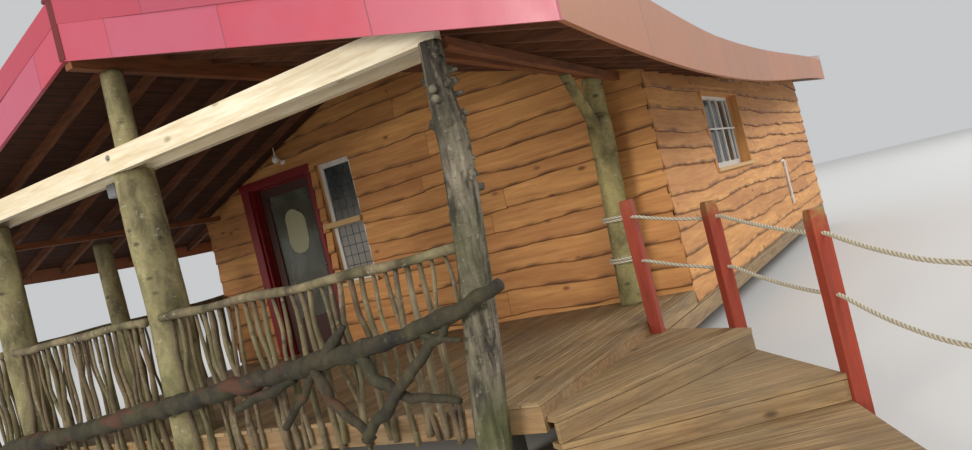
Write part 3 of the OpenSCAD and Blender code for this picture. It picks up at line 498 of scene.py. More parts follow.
def add_bar(bm, size, matrix, tone=0.0, bevel=0.003, grain_axis=0):
    """A sawn bar with eased edges, centred on the matrix's origin, its grain along one axis."""
    made = bmesh.ops.create_cube(bm, size=1, matrix=Matrix.Diagonal((*size, 1)))
    edges = {e for v in made["verts"] for e in v.link_edges}
    eased = bmesh.ops.bevel(bm, geom=list(edges), offset=bevel, offset_type="OFFSET",
        segments=1, profile=0.5, affect="EDGES", material=-1)
    faces = {face for vert in eased["verts"] for face in vert.link_faces}
    verts = {vert for face in faces for vert in face.verts}
    grain_map, tone_layer, edge_layer = layers_of(bm)
    offset = matrix.translation
    across = [i for i in range(3) if i != grain_axis]
    for face in faces:
        face.normal_update()
        other = across[0] if abs(face.normal[across[0]]) < abs(face.normal[across[1]]) else across[1]
        for loop in face.loops:
            co = loop.vert.co
            loop[grain_map].uv = (co[grain_axis] + offset.x * 3.1 + offset.y * 1.7,
                co[other] + offset.z * 2.3 + offset.y * 0.9 + offset.x * 1.3)
    for vert in verts:
        vert[tone_layer] = tone
        vert[edge_layer] = 0.0
        vert.co = matrix @ vert.co
    return verts


def smooth_line(points, step):
    """Points of a smooth curve through the given ones, about a step apart. They may hold radii."""
    points = [Vector(p) for p in points]
    ends = [points[0] * 2 - points[1], *points, points[-1] * 2 - points[-2]]
    line = []
    for a, b, c, d in zip(ends, ends[1:], ends[2:], ends[3:]):
        count = max(1, round((c - b).length / step))
        for k in range(count):
            t = k / count
            line.append(0.5 * (2 * b + (c - a) * t + (2 * a - 5 * b + 4 * c - d) * t * t
                + (3 * b - a - 3 * c + d) * t ** 3))
    return [*line, points[-1]]


def add_stem(bm, rings, sides, step, shape=None, seed=0.0, tone=0.0, level=False, caps=True):
    """A round stem through rings of (x, y, z, radius). shape(turn, run) gives its relief."""
    line = smooth_line(rings, step)
    frames = []
    side = Vector((0.0, 1.0, 0.0))
    for i, ring in enumerate(line):
        ahead = (line[min(i + 1, len(line) - 1)] - line[max(i - 1, 0)]).xyz.normalized()
        if level:
            ahead = Z
        side = (side - ahead * side.dot(ahead)).normalized()
        frames.append((ring, side.copy(), ahead.cross(side)))

    def place(u, v):
        index = round(v * (len(line) - 1))
        ring, first, second = frames[index]
        turn = (round(u * sides) % sides) / sides * math.tau
        reach = ring[3] * (1 + (shape(turn, index * step) if shape else 0))
        position = ring.xyz + (first * math.cos(turn) + second * math.sin(turn)) * reach
        return position, (index * step + seed, u * math.tau * ring[3] + seed), 0

    verts, _ = add_surface(bm, sides, len(line) - 1, place, tone)
    bmesh.ops.remove_doubles(bm, verts=verts, dist=1e-6)
    if caps:
        edges = {e for v in verts if v.is_valid for e in v.link_edges if e.is_boundary}
        bmesh.ops.holes_fill(bm, edges=list(edges), sides=0)


def clip_to(bm, verts, corners):
    """Cuts boards off along the sides of a convex plan, given anticlockwise."""
    geom = {*verts, *(e for v in verts for e in v.link_edges), *(f for v in verts for f in v.link_faces)}
    for a, b in zip(corners, [*corners[1:], corners[0]]):
        along = Vector((b[0] - a[0], b[1] - a[1], 0)).normalized()
        result = bmesh.ops.bisect_plane(bm, geom=[g for g in geom if g.is_valid], dist=1e-5,
            plane_co=(a[0], a[1], 0), plane_no=along.cross(Z), clear_outer=True)
        cut = [g for g in result["geom_cut"] if isinstance(g, bmesh.types.BMEdge)]
        geom = {g for g in [*geom, *result["geom"], *result["geom_cut"]] if g.is_valid}
        if cut:
            filled = bmesh.ops.holes_fill(bm, edges=cut, sides=0)
            geom |= set(filled["faces"])


# Ropes: laid in three strands, wound twice round the forked trunk, knotted behind the last post

ROPE_WIDTH = 0.026
LAY_LENGTH = 0.1
ROPE_STEP = 0.006
TRUNK_Y = 2.855
TURNS = 2
TURN_POINTS = 272
TURNS_DROP = 0.053
UPPER_ROUTE = [
    (2.676, 2.898, 1.360), (2.720, 2.770, 1.352), (2.790, 2.545, 1.343), (2.870, 2.280, 1.338),
    (2.935, 2.065, 1.340), (2.978, 1.925, 1.345), (3.095, 1.815, 1.345), (3.215, 1.803, 1.312),
    (3.345, 1.790, 1.278), (3.475, 1.777, 1.251), (3.600, 1.763, 1.231), (3.725, 1.691, 1.229),
    (3.830, 1.575, 1.200), (3.945, 1.440, 1.168), (4.060, 1.305, 1.139), (4.175, 1.172, 1.114),
    (4.290, 1.038, 1.092), (4.392, 0.918, 1.076), (4.476, 0.811, 1.074), (4.580, 0.660, 1.038),
    (4.700, 0.480, 1.002), (4.820, 0.300, 0.976), (4.940, 0.120, 0.957), (5.131, -0.144, 0.950),
    (5.209, -0.256, 0.950), (5.240, -0.300, 0.950)]
LOWER_ROUTE = [
    (2.661, 2.896, 0.990), (2.712, 2.770, 0.991), (2.785, 2.545, 0.991), (2.867, 2.280, 0.995),
    (2.934, 2.065, 1.004), (2.978, 1.925, 1.010), (3.095, 1.815, 1.010), (3.215, 1.803, 0.974),
    (3.345, 1.790, 0.936), (3.475, 1.777, 0.905), (3.600, 1.763, 0.877), (3.725, 1.691, 0.873),
    (3.830, 1.575, 0.843), (3.945, 1.440, 0.812), (4.060, 1.305, 0.785), (4.175, 1.172, 0.763),
    (4.290, 1.038, 0.746), (4.392, 0.918, 0.737), (4.476, 0.811, 0.733), (4.580, 0.660, 0.691),
    (4.700, 0.480, 0.650), (4.820, 0.300, 0.622), (4.940, 0.120, 0.605), (5.131, -0.144, 0.600),
    (5.209, -0.256, 0.600), (5.240, -0.300, 0.600)]


def laid_relief(turn, run):
    """Three strands that go once round in each length of the lay."""
    return -0.1 + 0.1 * math.cos(3 * (turn - run * math.tau / LAY_LENGTH))


def mark_grooves(bm, line):
    """Marks the grooves between strands, which lie nearer to the rope's own line, for painted shade."""
    reach = ROPE_WIDTH / 2
    edge_layer = layers_of(bm)[2]
    tree = KDTree(len(line))
    for i, point in enumerate(line):
        tree.insert(point, i)
    tree.balance()
    for vert in bm.verts:
        near = tree.find_n(vert.co, 2)
        a, b = near[0][0], near[1][0]
        along = (b - a).normalized() if (b - a).length else Z
        away = (vert.co - a) - along * (vert.co - a).dot(along)
        vert[edge_layer] = min(1, max(0, (reach - away.length) / (reach * 0.2)))


def add_knot(name, end):
    """Three small loops of rope, each turned another way."""
    bm = new_shape()
    for tilt in (0, 60, 120):
        spin = (turned(tilt) @ turned(55, "X")).to_3x3()
        loop = [(*(end + spin @ Vector((0.018 * math.cos(a), 0.018 * math.sin(a), 0))), 0.0105)
            for a in (math.tau * k / 24 for k in range(25))]
        add_stem(bm, loop, 8, 0.005, caps=False)
    return keep_piece(bm, name + "_knot", "rope")


def add_rope(route, name, trunk_x, turn_reach):
    """The rope: two turns down on the forked trunk, then its route, and a knot at its end."""
    start = Vector(route[0])
    first_turn = math.atan2(start.y - TRUNK_Y, start.x - trunk_x)
    line = []
    for k in range(TURN_POINTS):
        left = 1 - k / TURN_POINTS
        turn = first_turn + TURNS * math.tau * left
        line.append(Vector((trunk_x + turn_reach * math.cos(turn),
            TRUNK_Y + turn_reach * math.sin(turn), start.z - TURNS_DROP * left)))
    line += smooth_line(route, ROPE_STEP)
    bm = new_shape()
    add_stem(bm, [(*p, ROPE_WIDTH / 2) for p in line], 12, ROPE_STEP, laid_relief)
    mark_grooves(bm, line)
    rope_knot = add_knot(name, line[-1])
    rope = keep_piece(bm, name + "_laid", "rope", replaced=[name])
    length = sum((b - a).length for a, b in zip(line, line[1:]))


add_rope(UPPER_ROUTE, "upper_rope", 2.555, 0.1295)
add_rope(LOWER_ROUTE, "lower_rope", 2.536, 0.1315)


# The lines of the house, which walls and trims follow

ROOF_START, ROOF_END = -0.25, 12.2
RIDGE_LOW = 3.41
EAVE_HEIGHTS = (2.39, 2.06, 2.59, 2.69)
EAVE_REACH, EAVE_NARROWING = 3.72, 0.22
SHEET_RISE = 0.345
WALL_RISE = 0.14
LEFT_DROP = 0.18
HALF = 2.99
FRONT, REAR = 3.07, 11.95
DECK = 0.55
DOOR_LEFT, DOOR_RIGHT, DOOR_TOP = -2.14, -1.12, 2.68
PANE_LEFT, PANE_RIGHT, PANE_SILL, PANE_HEAD = -0.97, -0.46, 1.29, 2.69
FRAME_WIDTH = 0.06
SIDE_WINDOW_WIDE, SIDE_WINDOW_TALL = 1.75, 0.88
SIDE_WINDOW_Y, SIDE_WINDOW_Z = 5.775, 1.98


def eave_low(y):
    """Height of the barge board's lower edge at the eaves, which dip and rise along the cabin."""
    t = (y - ROOF_START) / (ROOF_END - ROOF_START)
    a, b, c, d = EAVE_HEIGHTS
    return a * (1 - t) ** 3 + 3 * b * (1 - t) ** 2 * t + 3 * c * (1 - t) * t * t + d * t ** 3


def eave_reach(y):
    return EAVE_REACH - EAVE_NARROWING * (y - ROOF_START) / (ROOF_END - ROOF_START)


def roof_low(x, y):
    """Height of the barge board's lower edge, continued over the whole roof."""
    drop = LEFT_DROP if x < 0 else 0
    return RIDGE_LOW - (RIDGE_LOW - eave_low(y) + drop) * abs(x) / eave_reach(y)


# Walls: courses of waney-edged boards that lap like scales, each with its own wave

CORNER_LAP = 0.02
FRONT_LENGTH = 2 * HALF + 2 * CORNER_LAP
SIDE_LENGTH = REAR - FRONT + 2 * CORNER_LAP
PIPE_RADIUS = 0.02
PIPE_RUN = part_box("overflow_pipe")[0][1] + PIPE_RADIUS - FRONT + CORNER_LAP
BOARD_LENGTHS = (2.8, 4.4)
COURSE_HEIGHTS = (0.16, 0.245)
BOARD_LAP = 0.075
BOARD_PROUD = 0.034
BOARD_ROWS = (0.0, 0.045, 0.16, 0.55, 1.0)

Course = namedtuple("Course", "number low height swell seed")


def wall_point(side, s, proud, z):
    """A point on one of the four walls: s along it, proud out of its face."""
    if side == "front":
        return Vector((-HALF - CORNER_LAP + s, FRONT - proud, z))
    if side == "right":
        return Vector((HALF + proud, FRONT - CORNER_LAP + s, z))
    if side == "rear":
        return Vector((HALF + CORNER_LAP - s, REAR + proud, z))
    return Vector((-HALF - proud, REAR + CORNER_LAP - s, z))


def wall_run(side, x=0.0, y=0.0):
    """How far along a wall a place in it lies."""
    return {"front": x + HALF + CORNER_LAP, "right": y - FRONT + CORNER_LAP,
        "rear": HALF + CORNER_LAP - x, "left": REAR + CORNER_LAP - y}[side]


def wall_limit(side, s):
    point = wall_point(side, s, 0, 0)
    return roof_low(point.x, point.y) + WALL_RISE - 0.006


def waney_wave(s, course, wild, phase):
    """How far a board's lower edge wanders: in long swells, shorter waves and small nicks."""
    number, seed = course.number, course.seed
    return (0.075 * course.swell * noise.noise(Vector((s * 0.45, number * 3.7, seed)))
        + 0.03 * wild * noise.noise(Vector((s * 1.5, number * 5.1, seed + 9)))
        + 0.007 * noise.noise(Vector((s * 7, number, phase))))


def flat_by_pipe(side, s, z):
    """How proud a board stays where the overflow pipe runs down the wall."""
    aside = abs(s - PIPE_RUN)
    near, far = 0.05, 0.16
    pipe_foot, pipe_head = 0.66, 1.46
    if side == "right" and aside < far and pipe_foot < z < pipe_head:
        return max(0.1, (aside - near) / (far - near))
    return 1


def add_board_edges(bm, faces, side, tone, phase):
    """Gives a board its edges, which run back to the wall's face. The edge mark makes them dark with
    painted shadow.
    """
    lips = [e for e in {e for f in faces for e in f.edges} if e.is_boundary]
    made = bmesh.ops.extrude_edge_only(bm, edges=lips)["geom"]
    grain_map, tone_layer, edge_layer = layers_of(bm)
    face_point = wall_point(side, 0, 0.001, 0)
    inward = wall_point(side, 0, 0, 0) - wall_point(side, 0, 1, 0)
    for vert in (g for g in made if isinstance(g, bmesh.types.BMVert)):
        vert.co -= inward * (vert.co - face_point).dot(inward)
        vert[edge_layer] = 1.0
        vert[tone_layer] = tone
    for face in (g for g in made if isinstance(g, bmesh.types.BMFace)):
        for loop in face.loops:
            loop[grain_map].uv = (loop.vert.co.x + loop.vert.co.y + phase, loop.vert.co.z)


def board_ends(rng, length):
    """Where a course's boards meet, along the wall."""
    ends = [0.0]
    while ends[-1] < length - 4.6:
        ends.append(ends[-1] + rng.uniform(*BOARD_LENGTHS))
    return [*ends, length]


def add_board(bm, side, course, start, end, rng):
    """One board of a course, with its own wave, tone and grain."""
    shift = rng.uniform(-0.006, 0.006)
    wild = rng.uniform(0.5, 1.4)
    tone = rng.random()
    phase = rng.uniform(0, 50)

    def place(u, v):
        row = round(v * 4)
        share = BOARD_ROWS[row]
        s = start + 0.002 + (end - start - 0.004) * u
        low = course.low + shift + waney_wave(s, course, wild, phase)
        if course.number == 0:
            low = course.low + 0.004
        at = low + (course.low + course.height + BOARD_LAP - low) * share
        proud = (0.004 + BOARD_PROUD * (1 - share)) * flat_by_pipe(side, s, at)
        if row == 0:
            proud -= 0.006
        at = min(at, wall_limit(side, s))
        ragged = noise.noise(Vector((s * 5, course.number * 2.3, course.seed + 4)))
        edge = (1.0, min(1, max(0, 0.45 + 1.6 * ragged)), 0.0, 0.0, 0.0)[row]
        return wall_point(side, s, proud, at), (s + phase, at + course.number * 1.9), edge

    _, faces = add_surface(bm, max(3, round((end - start) / 0.06)), 4, place, tone)
    add_board_edges(bm, faces, side, tone, phase)


def add_courses(bm, side, length, seed):
    """Courses of boards from the skirting up to the roof."""
    rng = random.Random(seed)
    low = DECK - 0.12
    top = max(wall_limit(side, s * length / 20) for s in range(21))
    number = 0
    while low < top:
        height = rng.uniform(*COURSE_HEIGHTS)
        ends = board_ends(rng, length)
        course = Course(number, low, height, rng.uniform(0.7, 1.5), seed)
        for start, end in zip(ends, ends[1:]):
            add_board(bm, side, course, start, end, rng)
        low += height
        number += 1


def cut_opening(bm, side, s_from, s_to, z_from, z_to):
    """Cuts a rectangular opening through the boards of a wall."""
    run = wall_point(side, 1, 0, 0) - wall_point(side, 0, 0, 0)
    cuts = [(wall_point(side, at, 0, 0), run) for at in (s_from, s_to)]
    cuts += [(Z * at, Z) for at in (z_from, z_to)]
    for spot, facing in cuts:
        bmesh.ops.bisect_plane(bm, geom=[*bm.verts, *bm.edges, *bm.faces], dist=1e-5,
            plane_co=spot, plane_no=facing)
    start = wall_point(side, 0, 0, 0).dot(run)
    inside = []
    for face in bm.faces:
        centre = face.calc_center_median()
        if s_from < centre.dot(run) - start < s_to and z_from < centre.z < z_to:
            inside.append(face)
    bmesh.ops.delete(bm, geom=inside, context="FACES")


def add_wall(side, length, seed, openings):
    bm = new_shape()
    add_courses(bm, side, length, seed)
    for opening in openings:
        cut_opening(bm, side, *opening)
    bmesh.ops.dissolve_degenerate(bm, edges=bm.edges, dist=1e-5)
    slivers = [face for face in bm.faces if face.calc_area() < 1e-7]
    bmesh.ops.delete(bm, geom=slivers, context="FACES")
    keep_piece(bm, side + "_wall_boards", "wall_boards", smooth=False)


def add_walls():
    """Front wall with a door and a tall window; the others have one wide window each."""
    z_from, z_to = 1.5, 2.42
    door = (wall_run("front", x=DOOR_LEFT - 0.12), wall_run("front", x=DOOR_RIGHT + 0.05),
        DECK - 0.2, DOOR_TOP + 0.06)
    pane = (wall_run("front", x=PANE_LEFT), wall_run("front", x=PANE_RIGHT), PANE_SILL - 0.04, PANE_HEAD)
    near, far = SIDE_WINDOW_Y - SIDE_WINDOW_WIDE / 2, SIDE_WINDOW_Y + SIDE_WINDOW_WIDE / 2
    add_wall("front", FRONT_LENGTH, 3, [door, pane])
    add_wall("right", SIDE_LENGTH, 11,
        [(wall_run("right", y=near), wall_run("right", y=far), z_from, z_to)])
    add_wall("rear", FRONT_LENGTH, 23, [(wall_run("rear", x=SIDE_WINDOW_WIDE / 2),
        wall_run("rear", x=-SIDE_WINDOW_WIDE / 2), z_from, z_to)])
    add_wall("left", SIDE_LENGTH, 31,
        [(wall_run("left", y=far), wall_run("left", y=near), z_from, z_to)])


add_walls()


# Deck, its skirting boards and the three platforms of the steps

CORNER, UPPER_OUT, MIDDLE_OUT = (3.07, -0.015), (3.79, 1.54), (4.41, 0.82)
BACK_IN, BACK_OUT = (2.99, 2.01), (3.78, 1.6)
LANDING_FRONT, LANDING_OUT = (3.55, -0.95), (4.9, -0.22)
BOARD_THICK = 0.032


def add_deck():
    bm = new_shape()
    rng = random.Random(5)
    pitch = 0.1246
    x = -HALF
    while x < HALF - 0.02:
        width = min(pitch, HALF - x) - 0.005
        middle = moved(x + width / 2, FRONT / 2 - 0.002, DECK - 0.014)
        add_bar(bm, (width, FRONT + 0.012, 0.028), middle, rng.random(), grain_axis=1)
        x += pitch
    keep_piece(bm, "porch_deck_boards", "deck_timber", replaced=["porch_deck"], smooth=False)


def add_skirting():
    """Long boards along the deck's and the cabin's lower edge."""
    bm = new_shape()
    rng = random.Random(8)
    for low, high in ((0.412, 0.545), (0.262, 0.405)):
        middle = (low + high) / 2
        for x in (HALF + 0.012, -HALF - 0.012):
            start = BACK_IN[1] + 0.01 if x > 0 else 0.0
            for a, b in ((start, 5.3), (5.304, 8.7), (8.704, REAR)):
                add_bar(bm, (0.022, b - a, high - low), moved(x, (a + b) / 2, middle), rng.random(),
                    grain_axis=1)
        add_bar(bm, (2 * HALF, 0.022, high - low), moved(0, REAR + 0.012, middle), rng.random())
    keep_piece(bm, "skirting_boards", "deck_timber", smooth=False)


def add_platform(piece, replaced, corners, edges, boards_along, top, bottom, seed):
    """A step: top boards side by side along one of its sides, edge boards below some of them."""
    bm = new_shape()
    rng = random.Random(seed)
    board_dir = (Vector(boards_along[1]) - Vector(boards_along[0])).normalized().to_3d()
    across = Vector((-board_dir.y, board_dir.x, 0))
    turn = Matrix((board_dir, across, Z)).transposed().to_4x4()
    reach = [Vector((*c, 0)).dot(across) for c in corners]
    run = [Vector((*c, 0)).dot(board_dir) for c in corners]
    middle = (min(run) + max(run)) / 2
    width = 0.138
    at = min(reach) + 0.004
    while at < max(reach):
        spot = Matrix.Translation(board_dir * middle + across * (at + width / 2)
            + Z * (top - BOARD_THICK / 2)) @ turn
        size = (max(run) - min(run) + 0.1, width, BOARD_THICK)
        clip_to(bm, add_bar(bm, size, spot, rng.random()), corners)
        at += width + 0.006
    edge_top = top - 0.034
    for a, b in edges:
        a, b = Vector((*a, 0)), Vector((*b, 0))
        along = (b - a).normalized()
        inward = Z.cross(along)
        side_turn = Matrix((along, inward, Z)).transposed().to_4x4()
        spot = Matrix.Translation((a + b) / 2 + inward * 0.014 + Z * ((edge_top + bottom) / 2)) @ side_turn
        add_bar(bm, ((b - a).length - 0.002, 0.026, edge_top - bottom), spot, rng.random() * 0.7)
    keep_piece(bm, piece, "deck_timber", replaced=[replaced], smooth=False)


def add_steps():
    inner = (2.99, 0.03)
    add_platform("upper_step_boards", "step_upper", [inner, CORNER, UPPER_OUT, BACK_OUT, BACK_IN],
        [(CORNER, UPPER_OUT), (BACK_OUT, BACK_IN)], (CORNER, UPPER_OUT), 0.46, 0.312, 41)
    outer = [CORNER, MIDDLE_OUT, BACK_OUT, BACK_IN]
    add_platform("middle_step_boards", "step_middle", [inner, *outer], zip(outer, outer[1:]),
        (CORNER, MIDDLE_OUT), 0.31, 0.162, 42)
    outer = [LANDING_FRONT, LANDING_OUT, MIDDLE_OUT, BACK_OUT, BACK_IN]
    add_platform("landing_boards", "step_landing", [(3.04, 0.043), *outer],
        zip([CORNER, *outer], outer), (LANDING_FRONT, LANDING_OUT), 0.16, 0.002, 43)


add_deck()
add_skirting()
add_steps()


# Trunks, limb and sticks

RAIL_HEIGHT = 1.455
STICK_TOP = 1.453
STICK_POINTS = 9


def scars_for(seed, count, height):
    """Turn, height, reach and lift of each old branch's scar."""
    rng = random.Random(seed)
    return [(rng.uniform(0, math.tau), rng.uniform(0.1, height), rng.uniform(0.03, 0.06),
        rng.uniform(0.05, 0.11)) for _ in range(count)]


def trunk_relief(seed, radius, scars=(), ridges=0.0):
    """Bark: broad lobes, fine grain, swollen branch scars and, on rough trunks, upright ridges."""
    def relief(turn, run):
        spot = Vector((math.cos(turn) * 1.3, math.sin(turn) * 1.3, run * 1.1 + seed))
        height = 0.035 * noise.noise(spot) + 0.02 * noise.noise(spot * 3.1)
        height += 0.012 * noise.noise(Vector((math.cos(turn) * 9, math.sin(turn) * 9, run * 7)))
        for scar_turn, scar_run, reach, lift in scars:
            bend = abs((turn - scar_turn + math.pi) % math.tau - math.pi) * radius
            away = math.hypot(bend, run - scar_run) / reach
            if away < 2:
                height += lift * (math.exp(-away * away * 2) - 0.8 * math.exp(-away * away * 9))
        if ridges:
            upright = noise.noise(Vector((turn * 2.6 + math.sin(run * 1.3) * 0.6, run * 0.8, seed)))
            height += ridges * (abs(upright) * 2 - 0.5)
        return height
    return relief


def add_stubs():
    """Short cut-off shoots round the right post's rough head."""
    bm = new_shape()
    rng = random.Random(77)
    for k in range(30):
        height = rng.uniform(1.75, 2.5)
        turn = rng.uniform(0, math.tau)
        away = Vector((math.cos(turn), math.sin(turn), rng.uniform(-0.1, 0.5))).normalized()
        foot = Vector((2.905, -0.085, height)) + away * 0.05
        reach = rng.uniform(0.012, 0.026)
        tip = foot + away * rng.uniform(0.045, 0.075)
        rings = [(*foot, reach * 1.25), (*(foot + (tip - foot) * 0.6), reach), (*tip, reach * 0.85)]
        add_stem(bm, rings, 9, 0.012, trunk_relief(k, reach), k)
    keep_piece(bm, "right_post_stubs", "rough_bark")


def add_trunk(post, rings, seed, sides=40, branches=(), finish="trunk_bark", scars=9, ridges=0.0):
    """The bark of a post, through rings of (x, y, z, radius), and of the branches on it."""
    bm = new_shape()
    height = rings[-1][2] - rings[0][2]
    relief = trunk_relief(seed, rings[0][3], scars_for(seed, scars, height), ridges)
    add_stem(bm, rings, sides, 0.03, relief, seed, level=True)
    for branch in branches:
        add_stem(bm, branch, 28, 0.03, trunk_relief(seed + 3, branch[0][3]), seed + 7, level=True)
    keep_piece(bm, post + "_bark", finish, replaced=[post])


def add_trunks():
    add_trunk("ridge_post", [(-.05, .08, 0, .165), (-.06, .08, .3, .163), (-.05, .08, .9, .157),
        (-.03, .085, 1.5, .152), (-.035, .08, 2.1, .153), (-.03, .08, 2.5, .146),
        (-.028, .08, 2.579, .139)], 40, 48,
        [[(-.028, .08, 2.56, .092), (-.02, .08, 2.95, .088), (-.01, .08, 3.348, .082)]])
    add_trunk("left_post", [(-2.2, .08, 0, .15), (-2.2, .08, .7, .143), (-2.215, .08, 1.4, .14),
        (-2.195, .08, 2.0, .135), (-2.2, .08, 2.579, .132)], 17)
    add_trunk("right_post", [(2.69, -.112, 0, .1), (2.725, -.107, .5, .1), (2.825, -.115, 1.1, .092),
        (2.878, -.107, 1.5, .088), (2.92, -.092, 2.0, .084), (2.9, -.082, 2.3, .072),
        (2.905, -.077, 2.579, .064)], 71, 48, finish="rough_bark", scars=34, ridges=0.16)
    add_stubs()
    add_trunk("forked_post", [(2.507, 2.855, .55, .115), (2.53, 2.855, .9, .112),
        (2.562, 2.855, 1.5, .108), (2.587, 2.852, 1.95, .108), (2.6, 2.843, 2.2, .108),
        (2.604, 2.842, 2.27, .09)], 10,
        branches=[[(2.606, 2.849, 2.14, .091), (2.616, 2.85, 2.34, .09), (2.625, 2.85, 2.592, .088)],
            [(2.585, 2.82, 2.12, .06), (2.602, 2.625, 2.29, .052), (2.64, 2.25, 2.592, .047)]],
        finish="pale_bark")
    add_trunk("side_post", [(-2.75, 1.41, .55, .105), (-2.738, 1.41, 1.2, .099),
        (-2.75, 1.41, 2.355, .09)], 90, 32)


def sway(degrees):
    return math.sin(math.radians(degrees))


def wobble(i, a, b):
    return a * sway(97 * i) + b * sway(41 * i + 30)


def stick_rings(foot_run, k, seed):
    """Rings of a crooked stick, from the rail's underside to below the deck's edge."""
    radius = 0.0185 + 0.004 * sway(73 * k + seed)
    tilt = math.radians(3.5 * sway(131 * (k + seed)) + 2.5 * sway(57 * k))
    tall = STICK_TOP - (0.385 + 0.03 * sway(89 * k + seed))
    top = Vector((foot_run, -radius - 0.001, STICK_TOP))
    lean = Vector((-math.sin(tilt), 0, -math.cos(tilt)))
    rings = []
    for j in range(STICK_POINTS):
        share = j / (STICK_POINTS - 1)
        crook = math.sin(share * math.pi)
        at = top + lean * tall * share
        at.x += crook * 0.075 * noise.noise(Vector((k * 3.3, share * 2.6, seed)))
        at.x += 0.016 * min(1, crook * 3) * noise.noise(Vector((k * 5.3, share * 8, seed)))
        at.y += -abs(crook * 0.03 * noise.noise(Vector((k * 1.3, share * 2, seed + 5))))
        knotty = noise.noise(Vector((k, share * 9, seed)))
        rings.append((*at, radius * (0.82 + 0.3 * share + 0.3 * knotty)))
    return rings


def add_balustrade(name, node, panels, side=False):
    """Peeled rails on crooked sticks. Each panel: start, rail's end, last stick, seed."""
    bm = new_shape()

    def placed(rings):
        return [(-HALF + y, -x, z, radius) for x, y, z, radius in rings] if side else rings

    for start, rail_end, stick_end, seed in panels:
        count = round((rail_end - start) / 0.24)
        rail = [(start + (rail_end - start) * i / count, -0.038 + wobble(i + seed, 0.004, 0.003),
            RAIL_HEIGHT + wobble(i + seed + 5, 0.007, 0.006), 0.031 + 0.003 * math.sin(i * 1.7))
            for i in range(count + 1)]
        add_stem(bm, placed(rail), 14, 0.04, trunk_relief(seed, 0.1), seed)
        sticks = round((stick_end - start) / 0.088)
        for k in range(1, sticks):
            rings = stick_rings(start + (stick_end - start) * k / sticks, k, seed)
            add_stem(bm, placed(rings), 8, 0.06, None, k * 0.37, (k * 0.618 + seed) % 1)
    keep_piece(bm, name, "stick_bark", replaced=[node])


def crooked(points, radii, bend, seed):
    """Rings along a branch that bends this way and that and swells at its knees."""
    rings = smooth_line([(*p, r) for p, r in zip(points, radii)], 0.085)
    for k, ring in enumerate(rings):
        share = min(1, k / 2, (len(rings) - 1 - k) / 2)
        for axis in (0, 2):
            ring[axis] += bend * share * noise.noise(Vector((k * 0.83, axis * 5.1, seed)))
        ring[3] *= 1 + 0.3 * share * noise.noise(Vector((k * 0.71, 3.3, seed + 2)))
    return rings


def add_limb():
    """The sawn limb that crosses the front, and the side branches that it kept."""
    bm = new_shape()
    route = [(-2.35, -.14, .62), (-1.7, -.15, .675), (-1.1, -.14, .72), (-.5, -.15, .775),
        (-.06, -.132, .815), (.4, -.16, .85), (.9, -.17, .905), (1.35, -.185, .95), (1.8, -.195, 1.0),
        (2.2, -.215, 1.035), (2.55, -.235, 1.095), (2.85, -.245, 1.17), (3.09, -.275, 1.245)]
    radii = [.078, .076, .074, .072, .070, .066, .064, .062, .058, .053, .05, .043, .034]
    relief = trunk_relief(61, 0.06, scars_for(61, 30, 5.4), 0.09)
    add_stem(bm, crooked(route, radii, 0.026, 4), 26, 0.03, relief, 5)
    branches = [
        ([(2.0, -.21, 1.0), (2.11, -.235, .85), (2.23, -.24, .76), (2.32, -.24, .71),
            (2.49, -.235, .685), (2.65, -.23, .66)], (.046, .042, .038, .034, .03, .022)),
        ([(1.95, -.27, .5), (2.2, -.28, .7), (2.36, -.28, .83), (2.5, -.27, .94), (2.63, -.25, 1.03),
            (2.72, -.24, 1.12)], (.038, .042, .036, .034, .028, .02)),
        ([(2.46, -.22, 1.09), (2.56, -.245, 1.03), (2.66, -.25, 1.0), (2.76, -.25, .99)],
            (.032, .028, .02, .014)),
        ([(1.6, -.19, .95), (1.68, -.225, .82), (1.76, -.23, .69), (1.88, -.225, .59),
            (1.96, -.22, .48)], (.044, .04, .036, .036, .03)),
        ([(1.6, -.19, .93), (1.47, -.215, .79), (1.36, -.215, .7), (1.24, -.2, .6)],
            (.034, .03, .028, .03)),
        ([(1.66, -.19, .97), (1.78, -.2, 1.06), (1.88, -.2, 1.13), (1.93, -.2, 1.17)],
            (.05, .044, .032, .016)),
        ([(1.4, -.18, .9), (1.2, -.2, .85), (1.02, -.205, .81), (.82, -.2, .755)],
            (.036, .04, .036, .026))]
    for k, (points, reach) in enumerate(branches):
        rings = crooked(points, [r * 0.86 for r in reach], 0.032, 20 + k * 3)
        add_stem(bm, rings, 16, 0.03, trunk_relief(70 + k, 0.03, scars_for(70 + k, 7, 1.0), 0.08), k)
    keep_piece(bm, "limb_bark", "limb_bark", replaced=["crossing_limb"])


add_trunks()
add_balustrade("front_sticks", "front_balustrade", [(0.04, 2.865, 2.71, 3)])
add_balustrade("left_bay_sticks", "left_bay_balustrade",
    [(-2.11, -0.16, -0.16, 8), (-2.95, -2.29, -2.29, 21)])
add_balustrade("side_sticks", "side_balustrade", [(-3.068, -0.02, -0.02, 15)], side=True)
add_limb()


# Rope posts: square, with eased edges, worn round and mossy on top

POST_WIDTH = 0.092
CROWN = 0.05


